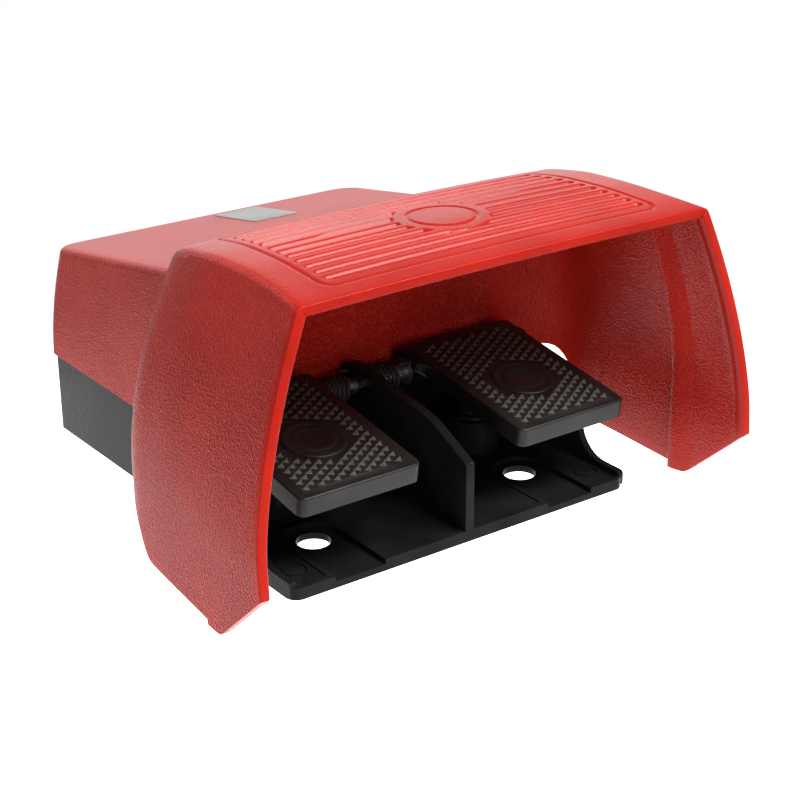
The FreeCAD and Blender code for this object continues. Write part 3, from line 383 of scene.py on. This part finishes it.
def bevel_edges(piece, picked, width, segments):
    """Rounds the picked edges of a piece, in edit mode."""
    use_only(piece)
    bpy.ops.object.mode_set(mode="EDIT")
    bpy.ops.mesh.select_mode(type="EDGE")
    bpy.ops.mesh.select_all(action="DESELECT")
    bpy.ops.object.mode_set(mode="OBJECT")
    for index in picked:
        piece.data.edges[index].select = True
    bpy.ops.object.mode_set(mode="EDIT")
    bpy.ops.mesh.bevel(offset=width * mm, segments=segments, clamp_overlap=True)
    bpy.ops.object.mode_set(mode="OBJECT")


def from_rows(name, lines):
    """A sheet of faces through equal lines of points."""
    width = len(lines[0])
    bpy.ops.mesh.primitive_grid_add(x_subdivisions=width - 1, y_subdivisions=len(lines) - 1)
    sheet = bpy.context.object
    sheet.name = name
    for i, line in enumerate(lines):
        for j, point in enumerate(line):
            sheet.data.vertices[i * width + j].co = (point.x * mm, point.y * mm + plate_front,
                                                     point.z * mm)
    return sheet


hood_lines = [hood_row(row) for row in rows]
hood_width = len(hood_lines[0])
hood = from_rows("hood_shell", hood_lines)
hood_count = len(hood.data.vertices)
apply_modifier(hood, "SOLIDIFY", thickness=hood_wall * mm, offset=-1)
# At the sharp rear top corners the inner wall comes out above the outer one.
# There it is set one wall's thickness inwards along the diagonal.
corner_low = 108
turned_out = 0.5
diagonal = 0.7
for i, line in enumerate(hood_lines):
    for j, point in enumerate(line):
        outer = hood.data.vertices[i * hood_width + j]
        inner = hood.data.vertices[hood_count + i * hood_width + j]
        if point.z > corner_low and inner.co.z > outer.co.z + turned_out * mm:
            inward = Vector((-math.copysign(diagonal, point.x), 0, -diagonal))
            inner.co = outer.co + inward * hood_wall * mm
        wall = (inner.co - outer.co).normalized()
        rise = rib_rise(point)
        if rise:
            inner.co += wall * rise * mm
        if on_panel(point.x, point.y, point.z):
            outer.co.z -= panel_depth(point.x, point.y) * mm
# The rim's edges are rounded, except at the rear, where the hood meets the case.
hood_faces = (len(hood_lines) - 1) * (hood_width - 1)
rear_limit = plate_front + (hood_rear - 0.5) * mm
rim_edges = set()
for rim_face in hood.data.polygons[2 * hood_faces:]:
    for a, b in rim_face.edge_keys:
        rear = min(hood.data.vertices[end].co.y for end in (a, b)) > rear_limit
        if (a < hood_count) == (b < hood_count) and not rear:
            rim_edges.add((a, b))
picked = [edge.index for edge in hood.data.edges if tuple(edge.key) in rim_edges]
bevel_edges(hood, picked, rim_round, 3)
smooth(hood, 50)

# The hood's rear wall, a flat plate between its sides against the case.
back_front = 101.0
back_thickness = 5.0
back_low = 48.0
back_high = 114.0
back_gap = 1.5
back_points = [Vector((hood_half_width(hood_rear, z) - back_gap, back_front, z))
               for z in steps(back_low, back_high, 12)]
back_points += [Vector((78, back_front, 116)), Vector((40, back_front, 117))]
back_line = [Vector((-p.x, p.y, p.z)) for p in back_points] + back_points[::-1]
back_lines = [back_line, [p + Vector((0, back_thickness, 0)) for p in back_line]]
hood_back = from_rows("hood_rear_wall", back_lines)
closed = bmesh.new()
closed.from_mesh(hood_back.data)
closed.verts.ensure_lookup_table()
count = len(back_line)
closed.faces.new([closed.verts[i] for i in range(count)])
closed.faces.new([closed.verts[count + i] for i in reversed(range(count))])
closed.faces.new([closed.verts[i] for i in (count - 1, 0, count, 2 * count - 1)])
bmesh.ops.recalc_face_normals(closed, faces=closed.faces)
closed.to_mesh(hood_back.data)
closed.free()
smooth(hood_back, 30)


def new_material(name, base, roughness, metallic=0.0, gloss=0.4):
    """A plain finish, which the functions below give its pattern."""
    material = bpy.data.materials.new(name)
    material.use_nodes = True
    shader = material.node_tree.nodes["Principled BSDF"]
    shader.inputs["Base Color"].default_value = (*base, 1)
    shader.inputs["Roughness"].default_value = roughness
    shader.inputs["Metallic"].default_value = metallic
    shader.inputs["Specular IOR Level"].default_value = gloss
    return material


def pattern(material, kind, scale, **settings):
    """A Noise or Voronoi texture on the piece's own coordinates."""
    nodes = material.node_tree.nodes
    links = material.node_tree.links
    place = nodes.get("place")
    if place is None:
        place = nodes.new("ShaderNodeTexCoord")
        place.name = "place"
    texture = nodes.new("ShaderNodeTex" + kind)
    texture.inputs["Scale"].default_value = scale
    for name, value in settings.items():
        texture.inputs[name].default_value = value
    links.new(place.outputs["Object"], texture.inputs["Vector"])
    return texture


def vary_colour(material, value, dark, light):
    """The colour runs from dark to light with the middle range of a texture's value."""
    nodes = material.node_tree.nodes
    ramp = nodes.new("ShaderNodeValToRGB")
    ramp.color_ramp.elements[0].position = 0.35
    ramp.color_ramp.elements[0].color = (*dark, 1)
    ramp.color_ramp.elements[1].position = 0.65
    ramp.color_ramp.elements[1].color = (*light, 1)
    material.node_tree.links.new(value, ramp.inputs["Fac"])
    shader = nodes["Principled BSDF"]
    material.node_tree.links.new(ramp.outputs["Color"], shader.inputs["Base Color"])


def vary_roughness(material, value, smoothest, roughest):
    """The roughness runs from smoothest to roughest with a texture's value."""
    spread = material.node_tree.nodes.new("ShaderNodeMapRange")
    spread.inputs["To Min"].default_value = smoothest
    spread.inputs["To Max"].default_value = roughest
    material.node_tree.links.new(value, spread.inputs["Value"])
    shader = material.node_tree.nodes["Principled BSDF"]
    material.node_tree.links.new(spread.outputs["Result"], shader.inputs["Roughness"])


def add_bump(material, value, height):
    """Raises the surface by a texture's value, on top of bumps added before."""
    nodes = material.node_tree.nodes
    links = material.node_tree.links
    shader = nodes["Principled BSDF"]
    bump = nodes.new("ShaderNodeBump")
    bump.inputs["Strength"].default_value = 1.0
    bump.inputs["Distance"].default_value = height * mm
    links.new(value, bump.inputs["Height"])
    if shader.inputs["Normal"].links:
        links.new(shader.inputs["Normal"].links[0].from_socket, bump.inputs["Normal"])
    links.new(bump.outputs["Normal"], shader.inputs["Normal"])


# Red powder coat: fine orange peel about a millimetre apart, and slow colour drift.
# It lies smoother and shinier on the tops and inside the hood than on the sides.
red_dark = (0.235, 0.0065, 0.0033)
red_light = (0.285, 0.0097, 0.0045)
peel_scale = 1000
peel_relief = 1.0
fine_relief = 0.03


def red_powder(name, gloss, smoothest, roughest):
    coat = new_material(name, red_light, roughest, gloss=gloss)
    peel = pattern(coat, "Voronoi", peel_scale)
    drift = pattern(coat, "Noise", 25, Detail=3.0)
    fine = pattern(coat, "Noise", 1800, Detail=2.0)
    grain_share = coat.node_tree.nodes.new("ShaderNodeAttribute")
    grain_share.attribute_name = "grain"
    peel_height = coat.node_tree.nodes.new("ShaderNodeMath")
    peel_height.operation = "MULTIPLY"
    coat.node_tree.links.new(peel.outputs["Distance"], peel_height.inputs[0])
    coat.node_tree.links.new(grain_share.outputs["Fac"], peel_height.inputs[1])
    vary_colour(coat, drift.outputs["Fac"], red_dark, red_light)
    vary_roughness(coat, fine.outputs["Fac"], smoothest, roughest)
    add_bump(coat, peel_height.outputs[0], peel_relief)
    add_bump(coat, fine.outputs["Fac"], fine_relief)
    return coat


red_coat = red_powder("red_powder_coat", 0.05, 0.22, 0.34)
red_top = red_powder("red_powder_coat_top", 0.18, 0.24, 0.36)
red_inside = red_powder("red_powder_coat_inside", 0.14, 0.2, 0.32)


def spread_grain(piece, share_at):
    """Stores how strongly the coat's texture shows at each vertex."""
    grain = piece.data.attributes.new("grain", "FLOAT", "POINT")
    for vertex, value in zip(piece.data.vertices, grain.data):
        value.value = share_at(vertex)


panel_grain = 0.05
top_smoothing = 0.9
lip_smoothing = 0.85
lip_band = 5.0
lip_band_soft = 2.5
inside_grain = 0.2
# how far a face has to turn up, inwards or down to count as such, 1 being straight
top_turn = 0.55
panel_turn = 0.2
inward_turn = 0.3
down_turn = 0.4
level_turn = 0.75
level_soft = 0.15


def panel_top(place, normal):
    """Whether a place in metres is on the ribbed panel and looks up."""
    depth = (place.y - plate_front) / mm
    return on_panel(place.x / mm, depth, place.z / mm, margin=2) and normal.z > panel_turn


def looks_inward(place, normal):
    """Whether a surface at a place faces the part's middle."""
    return place.x * normal.x < 0 and abs(normal.x) > inward_turn


def level_share(normal):
    """1 where a surface lies level, 0 where it stands."""
    return step_down(level_turn - abs(normal.z), level_soft)


def hood_grain(vertex):
    """The sides are fully textured, the top, inner walls and a band along the lip are smoother."""
    if panel_top(vertex.co, vertex.normal):
        return panel_grain
    behind_lip = (vertex.co.y - plate_front) / mm - lip_at(vertex.co.z / mm)
    share = 1 - top_smoothing * level_share(vertex.normal)
    share *= 1 - lip_smoothing * step_down(behind_lip - lip_band, lip_band_soft)
    if looks_inward(vertex.co, vertex.normal):
        share *= inside_grain
    return share


def wear(piece, material):
    """Gives a piece one finish all over."""
    piece.data.materials.clear()
    piece.data.materials.append(material)


def give_top(piece):
    """Faces that look up get the shinier coat."""
    piece.data.materials.append(red_top)
    for face in piece.data.polygons:
        if face.normal.z > top_turn or panel_top(face.center, face.normal):
            face.material_index = 1


for piece in (hood, hood_back):
    wear(piece, red_coat)
    give_top(piece)
    piece.data.materials.append(red_inside)
    for face in piece.data.polygons:
        inward = looks_inward(face.center, face.normal)
        if inward or face.normal.z < -down_turn or piece == hood_back:
            face.material_index = 2
    spread_grain(piece, hood_grain)
    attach(piece, "housing")
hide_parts("guard_hood")


# Case cover: a red casting that closes the case, with rounded rear corners and top edges.
# It sits on the gasket, and four screws from the underside hold it.
cover_front = 106.0
cover_low = 41.0
cover_lean = 1.6
cover_top_front = 118.6
cover_slope = 0.17
cover_half_low = 92.3
cover_half_top = 90.3
cover_rear_low = 230.3
cover_rear_top = 225.5
cover_corner_low = 4.5
cover_corner_top = 14.0
corner_steps = 8
cover_round = 3.5
cover_wall = 3.5
front_nick = 0.4
cast_round = 0.6


def cover_top_at(y):
    """Height of the cover's sloping top at a depth."""
    return cover_top_front - (y - cover_front) * cover_slope


def cover_ring(rise, inset, turn):
    """One line round the cover: rise goes from its foot to its top, turn rounds the top edge."""
    lean = rise ** cover_lean
    half = cover_half_low + (cover_half_top - cover_half_low) * lean - inset
    rear = cover_rear_low + (cover_rear_top - cover_rear_low) * lean - inset
    front = cover_front + inset * turn
    corner = cover_corner_low + (cover_corner_top - cover_corner_low) * rise ** 2
    corner = max(corner - inset, front_nick)
    points = [Vector((half - front_nick, front, 0)), Vector((half, front + front_nick, 0))]
    points += [Vector((half, y, 0)) for y in steps(front + 6, rear - corner - 2, 8)]
    for i in range(corner_steps + 1):
        angle = math.radians(90 / corner_steps * i)
        points.append(Vector((half - corner + corner * math.cos(angle),
                              rear - corner + corner * math.sin(angle), 0)))
    for point in points:
        top = cover_top_at(point.y)
        side = cover_low + (top - cover_round - cover_low) * rise
        point.z = side + cover_round * math.sin(turn * math.pi / 2)
    left = [Vector((-p.x, p.y, p.z)) for p in points]
    return points + left[::-1]


def round_edges(piece, width, angle):
    """Rounds every edge of a piece that is sharper than the angle."""
    apply_modifier(piece, "BEVEL", width=width * mm, segments=2, limit_method="ANGLE",
                   angle_limit=math.radians(angle), use_clamp_overlap=True)


cover_rings = [cover_ring(rise, 0, 0) for rise in (0, 0.03, 0.1, 0.25, 0.4, 0.55, 0.7, 0.85, 1)]
for turn in (0.25, 0.5, 0.75, 1):
    cover_rings.append(cover_ring(1, cover_round * (1 - math.cos(turn * math.pi / 2)), turn))
for inset in (8, 16, 28, 40):
    cover_rings.append(cover_ring(1, inset, 1))
cover_rings = [ring + ring[:1] for ring in cover_rings]
cover = from_rows("cover_shell", cover_rings)
cover_width = len(cover_rings[0])
top_ring = [(len(cover_rings) - 1) * cover_width + i for i in range(cover_width - 1)]
shell = bmesh.new()
shell.from_mesh(cover.data)
shell.verts.ensure_lookup_table()
shell.faces.new([shell.verts[i] for i in top_ring])
bmesh.ops.remove_doubles(shell, verts=shell.verts, dist=0.01 * mm)
bmesh.ops.recalc_face_normals(shell, faces=shell.faces)
shell.to_mesh(cover.data)
shell.free()
apply_modifier(cover, "SOLIDIFY", thickness=cover_wall * mm, offset=-1)
round_edges(cover, cast_round, 60)
smooth(cover, 35)
# Inside, four posts take the screws that come up from the underside.
post_places = [(-37.5, 114.5), (37.5, 114.5), (-81.0, 219.5), (81.0, 219.5)]
post_radius = 6.0
post_length = 18.0
post_middle = 53.0
posts = []
for x, y in post_places:
    post_place = (x * mm, y * mm + plate_front, post_middle * mm)
    bpy.ops.mesh.primitive_cylinder_add(vertices=32, radius=post_radius * mm,
                                        depth=post_length * mm, location=post_place)
    post = bpy.context.object
    bpy.ops.object.transform_apply(location=True, rotation=True, scale=True)
    round_edges(post, cast_round, 30)
    smooth(post, 40)
    posts.append(post)
use_only(cover)
for post in posts:
    post.select_set(True)
bpy.ops.object.join()
cover.name = "cover_shell"
wear(cover, red_coat)
give_top(cover)
cover_smoothing = 0.8
spread_grain(cover, lambda vertex: 1 - cover_smoothing * level_share(vertex.normal))
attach(cover, "housing")
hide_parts("case_cover")


# Rating label: a thin blank foil plate stuck on the cover's top.
# It follows the cover's slope and has rounded corners.
label_left = -0.5
label_right = 25.5
label_front = 176.0
label_rear = 217.5
label_thickness = 0.3
label_sunk = 0.1
label_corner = 1.5
label_round = 0.08


def grained(name, dark, light, smoothest, roughest, scale=400, relief=0.03, gloss=0.4, metallic=0.0):
    """A finish whose colour, roughness and relief follow one fine noise."""
    material = new_material(name, light, roughest, metallic=metallic, gloss=gloss)
    grain = pattern(material, "Noise", scale, Detail=3.0)
    vary_colour(material, grain.outputs["Fac"], dark, light)
    vary_roughness(material, grain.outputs["Fac"], smoothest, roughest)
    add_bump(material, grain.outputs["Fac"], relief)
    return material


foil = grained("label_foil", (0.15, 0.145, 0.14), (0.19, 0.184, 0.178), 0.28, 0.42,
               scale=300, relief=0.02)
bpy.ops.mesh.primitive_cube_add(size=1)
label = bpy.context.object
label.name = "label_plate"
for vertex in label.data.vertices:
    across = label_right if vertex.co.x > 0 else label_left
    depth = label_rear if vertex.co.y > 0 else label_front
    height = cover_top_at(depth) + (label_thickness if vertex.co.z > 0 else -label_sunk)
    vertex.co = (across * mm, depth * mm + plate_front, height * mm)
upright = []
for edge in label.data.edges:
    start, end = [label.data.vertices[i].co for i in edge.vertices]
    if start.x == end.x and start.y == end.y:
        upright.append(edge.index)
bevel_edges(label, upright, label_corner, 4)
round_edges(label, label_round, 30)
smooth(label, 30)
wear(label, foil)
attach(label, "housing")
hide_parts("rating_label")


# Base casting: foot plate, cheeks, middle web and lower case in one, in gloss black coat.
# It stands on the floor and everything else is fixed to it.
black_dark = (0.0045, 0.0045, 0.005)
black_light = (0.009, 0.009, 0.0095)
black_coat = new_material("black_gloss_coat", black_light, 0.22, gloss=0.03)
black_peel = pattern(black_coat, "Voronoi", 900)
black_drift = pattern(black_coat, "Noise", 30, Detail=4.0)
vary_colour(black_coat, black_drift.outputs["Fac"], black_dark, black_light)
vary_roughness(black_coat, black_drift.outputs["Fac"], 0.1, 0.22)
add_bump(black_coat, black_peel.outputs["Distance"], 0.1)
case_half = 90.0
case_rear = 228.0
case_grow = 1.1
case_corner_cad = 9.0
case_corner_real = 4.5
# the front upper edge of the foot plate lies between these heights
nose_low = 2.5
nose_high = 6.5
nose_round = 1.8
merge_within = 0.004


def copy_of(node, name, edge=0.0, angle=35):
    """A merged copy of a CAD node with its edges rounded, smooth over those duller than angle."""
    piece = bpy.data.objects.new(name, frame["nodes"][node].data.copy())
    bpy.context.collection.objects.link(piece)
    use_only(piece)
    bpy.ops.object.mode_set(mode="EDIT")
    bpy.ops.mesh.select_all(action="SELECT")
    bpy.ops.mesh.remove_doubles(threshold=merge_within * mm)
    bpy.ops.mesh.dissolve_limited(angle_limit=math.radians(1.0))
    bpy.ops.object.mode_set(mode="OBJECT")
    if edge:
        round_edges(piece, edge, 40)
    smooth(piece, angle)
    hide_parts(node)
    return piece


def sharpen_corners(piece):
    """Draws the case out to its real width, with its two rear corners at their smaller radius."""
    middle = Vector((case_half - case_corner_cad, case_rear - case_corner_cad))
    moved = Vector((case_half, case_rear)) + Vector((case_grow - case_corner_real,) * 2)
    # only the outline of the case behind the hood and under the cover moves
    for vertex in piece.data.vertices:
        side = math.copysign(1, vertex.co.x)
        place = Vector((abs(vertex.co.x) / mm, (vertex.co.y - plate_front) / mm))
        off = place - middle
        if place.y < cover_front + 2 or vertex.co.z / mm > cover_low + 3:
            continue
        if off.x > -0.01 and off.y > -0.01 and off.length > case_corner_cad - 0.2:
            place = moved + off * (1 - (case_corner_cad - case_corner_real) / off.length)
        elif place.x > case_half - 0.05:
            place.x = case_half + case_grow
        elif place.y > case_rear - 0.05:
            place.y = case_rear + case_grow
        vertex.co.x = side * place.x * mm
        vertex.co.y = place.y * mm + plate_front


base = copy_of("base_casting", "base_body")
sharpen_corners(base)
front_edges = []
for edge in base.data.edges:
    ends = [base.data.vertices[i].co for i in edge.vertices]
    front = max((end.y - plate_front) / mm for end in ends)
    heights = [end.z / mm for end in ends]
    if front < 0.05 and min(heights) > nose_low and max(heights) < nose_high:
        front_edges.append(edge.index)
bevel_edges(base, front_edges, nose_round, 4)
round_edges(base, cast_round, 45)
smooth(base, 40)
wear(base, black_coat)
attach(base, "housing")


# Pedals: satin black castings with a pyramid tread on top, on bushes round the axle.
# One flank of each stud, the one facing front and left, is coloured a lighter grey-olive as a painted
# highlight, and a plain round badge lies on each top.
pedal_dark = (0.005, 0.005, 0.0048)
pedal_light = (0.0095, 0.0093, 0.0088)
pedal_black = new_material("pedal_satin_black", pedal_light, 0.5, gloss=0.18)
pedal_drift = pattern(pedal_black, "Noise", 60, Detail=4.0)
pedal_grain = pattern(pedal_black, "Noise", 1500, Detail=2.0)
vary_colour(pedal_black, pedal_drift.outputs["Fac"], pedal_dark, pedal_light)
vary_roughness(pedal_black, pedal_grain.outputs["Fac"], 0.34, 0.5)
add_bump(pedal_black, pedal_grain.outputs["Fac"], 0.05)
# lighter grey-olive black: a painted highlight on the studs' front-left flanks
tread_painted_highlight = grained("tread_painted_highlight_black", (0.036, 0.036, 0.03), (0.064, 0.064, 0.053), 0.28, 0.45,
                     scale=1400, relief=0.04, gloss=0.25)
tilt = math.radians(8.4)
along = Vector((0, math.cos(tilt), math.sin(tilt)))
upward = Vector((0, -math.sin(tilt), math.cos(tilt)))
pedal_front = -2.0
pedal_top = 48.0
pedal_middle_x = 59.5
tread_extra = 0.6
stud_from = 1.0
badge_from_front = 38.5
# the badge's outline: radius, height over the pedal's top
badge_profile = [(0, -0.3), (15.3, -0.3), (15.3, 0.3), (15.0, 0.6), (14.5, 0.75), (13.0, 0.75),
                 (12.5, 0.6), (12.2, 0.3), (9.8, 0.3), (9.5, 0.5), (9.0, 0.6), (8.4, 0.5),
                 (8.1, 0.3), (0, 0.3)]


def above_pedal(place):
    """Height in millimetres over the plane of the pedals' sloping tops."""
    depth = (place.y - plate_front) / mm - pedal_front
    return (place.z / mm - pedal_top) * math.cos(tilt) - depth * math.sin(tilt)


def spun(name, outline, count, centre, axis):
    """A closed round piece, spun from its outline round an axis through its centre."""
    bpy.ops.mesh.primitive_circle_add(vertices=len(outline), radius=0.01)
    piece = bpy.context.object
    piece.name = name
    for vertex, place in zip(piece.data.vertices, outline):
        vertex.co = place
    use_only(piece)
    bpy.ops.object.mode_set(mode="EDIT")
    bpy.ops.mesh.select_all(action="SELECT")
    bpy.ops.mesh.spin(steps=count, angle=2 * math.pi, center=centre, axis=axis)
    bpy.ops.mesh.select_all(action="SELECT")
    bpy.ops.mesh.remove_doubles(threshold=0.01 * mm)
    bpy.ops.mesh.normals_make_consistent(inside=False)
    bpy.ops.object.mode_set(mode="OBJECT")
    return piece


for side, sign in (("left", -1), ("right", 1)):
    pedal = copy_of("pedal_" + side, "pedal_casting_" + side, angle=25)
    for vertex in pedal.data.vertices:
        if above_pedal(vertex.co) > stud_from:
            vertex.co += upward * tread_extra * mm
    wear(pedal, pedal_black)
    pedal.data.materials.append(tread_painted_highlight)
    # stud flanks that face up, forwards and left take the painted highlight colour
    for face in pedal.data.polygons:
        highlight_side = face.normal.z > 0.4 and max(face.normal.x, face.normal.y) < -0.1
        if highlight_side and above_pedal(face.center) > 0.2:
            face.material_index = 1
    middle = Vector((sign * pedal_middle_x, pedal_front, pedal_top)) + along * badge_from_front
    middle = middle * mm + Vector((0, plate_front, 0))
    outline = [middle + (Vector((1, 0, 0)) * radius + upward * height) * mm
               for radius, height in badge_profile]
    badge = spun("pedal_badge_" + side, outline, 64, middle, upward)
    smooth(badge, 50)
    wear(badge, pedal_black)
    use_only(pedal)
    badge.select_set(True)
    bpy.ops.object.join()
    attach(pedal, "pedal_" + side)


# Return springs: round spring wire wound round the axle between the web and each pedal.
# One end is held in the web and the other in the pedal's ear.
spring_wire = 2.0
spring_radius = 6.2
spring_turns = 5
spring_pitch = 2.6
spring_end_radius = 8.0
coil_points = 16
axle_y = 88.0
axle_z = 48.0
web_half = 2.3
pedal_inner = 28.0
held_in_web = 0.6
held_in_ear = 30.4
# the bend between coil and leg: where it starts, and its reach back and across
bend_from = 2.2
bend_back = 1.6
bend_across = (0.4, 2.4)
spring_steel = grained("spring_steel", (0.006, 0.006, 0.006), (0.014, 0.014, 0.014), 0.45, 0.6,
                       scale=220, gloss=0.15)
spring_first = (web_half + pedal_inner - spring_turns * spring_pitch) / 2
spring_last = spring_first + spring_turns * spring_pitch
leg = math.sqrt(spring_end_radius ** 2 - spring_radius ** 2)


def spring_end(start, held, way):
    """The wire's straight leg from the coil's end to where it is held, with a bend between."""
    corners = [(start, bend_from), (start, leg - bend_back)]
    corners += [(start + way * across, leg) for across in bend_across] + [(held, leg)]
    return [(x, axle_y - way * off, axle_z + spring_radius) for x, off in corners]


coil_path = []
for i in range(spring_turns * coil_points + 1):
    angle = math.pi / 2 + 2 * math.pi * i / coil_points
    coil_path.append((spring_first + i / coil_points * spring_pitch,
                      axle_y + spring_radius * math.cos(angle),
                      axle_z + spring_radius * math.sin(angle)))
spring_path = spring_end(spring_first, held_in_web, -1)[::-1] + coil_path
spring_path += spring_end(spring_last, held_in_ear, 1)
for side, sign in (("left", -1), ("right", 1)):
    bpy.ops.curve.primitive_nurbs_path_add()
    coil = bpy.context.object
    coil.name = "spring_coil_" + side
    coil.data.splines.clear()
    spline = coil.data.splines.new("NURBS")
    spline.points.add(len(spring_path) - 1)
    for point, (x, y, z) in zip(spline.points, spring_path):
        point.co = (sign * x * mm, y * mm + plate_front, z * mm, 1)
    spline.order_u = 3
    spline.use_endpoint_u = True
    coil.data.bevel_depth = spring_wire / 2 * mm
    coil.data.bevel_resolution = 4
    coil.data.use_fill_caps = True
    use_only(coil)
    bpy.ops.object.convert(target="MESH")
    coil = bpy.context.object
    smooth(coil, 40)
    wear(coil, spring_steel)
    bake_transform(coil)
    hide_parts("return_spring_" + side)


# Rubber boots: moulded bellows round each plunger, seated on the base's turret.
# Their folds are round, with a flange below and a plain neck at the top.
rubber = grained("black_rubber", (0.008, 0.008, 0.008), (0.016, 0.016, 0.016), 0.5, 0.7,
                 scale=900, relief=0.04, gloss=0.2)
plunger_y = 74.0
boot_foot = 22.0
fold_count = 4
fold_pitch = 2.9
first_fold = 24.2
# the boot's outline: radius, height
boot_profile = [(9.5, boot_foot), (9.5, 23.4), (6.4, 23.8)]
for fold in range(fold_count):
    low = first_fold + fold * fold_pitch
    boot_profile += [(7.0, low), (8.2, low + 0.9), (8.2, low + 1.6), (7.0, low + 2.3)]
boot_profile += [(5.6, 36.2), (5.4, 38.4), (3.9, 38.4), (3.9, boot_foot)]
for side, sign in (("left", -1), ("right", 1)):
    foot = (sign * pedal_middle_x * mm, plunger_y * mm + plate_front, boot_foot * mm)
    outline = [(foot[0] + radius * mm, foot[1], height * mm) for radius, height in boot_profile]
    boot = spun("boot_bellows_" + side, outline, 40, foot, (0, 0, 1))
    smooth(boot, 60)
    wear(boot, rubber)
    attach(boot, "housing")
    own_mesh(boot)
    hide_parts("plunger_boot_" + side)


# Gasket between base and cover, and the gland's sealing ring: black rubber, cut and moulded.
# Both are held by what clamps them.
gasket_round = 0.25
seal_round = 0.35
gasket = copy_of("housing_gasket", "flat_gasket")
sharpen_corners(gasket)
round_edges(gasket, gasket_round, 45)
smooth(gasket, 40)
seal = copy_of("gland_seal", "gland_ring_seal", edge=seal_round)
for piece in (gasket, seal):
    wear(piece, rubber)
    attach(piece, "housing")


# Every other piece keeps its CAD shape and gets its own finish.
# Shafts, pins and screws are bright steel, blocks and the gland are moulded plastic.
finishes = {
    "steel": grained("bright_steel", (0.45, 0.45, 0.45), (0.62, 0.62, 0.62), 0.2, 0.36, metallic=1.0),
    "spring_steel": spring_steel,
    "bush_plastic": grained("bush_plastic", (0.03, 0.03, 0.03), (0.055, 0.055, 0.053), 0.4, 0.55),
    "block_plastic": grained("block_plastic", (0.03, 0.03, 0.032), (0.05, 0.05, 0.052), 0.35, 0.5),
    "button_plastic": grained("button_plastic", (0.6, 0.6, 0.58), (0.7, 0.7, 0.68), 0.3, 0.45),
    "terminal_plastic": grained("terminal_plastic", (0.55, 0.55, 0.52), (0.66, 0.66, 0.63), 0.4, 0.5),
    "brass": grained("brass", (0.6, 0.42, 0.16), (0.72, 0.53, 0.22), 0.22, 0.4, metallic=1.0),
    "gland_plastic": grained("gland_plastic", (0.009, 0.009, 0.0095), (0.016, 0.016, 0.0165), 0.35, 0.5),
}
replaced = {"guard_hood", "case_cover", "base_casting", "pedal_left", "pedal_right",
            "return_spring_left", "return_spring_right", "plunger_boot_left",
            "plunger_boot_right", "housing_gasket", "gland_seal", "rating_label"}
for row in frame["record"]["subparts"]:
    if row["node"] not in replaced:
        node = frame["nodes"][row["node"]]
        for i in range(len(node.material_slots)):
            node.material_slots[i].material = finishes[row["material_slot"]]
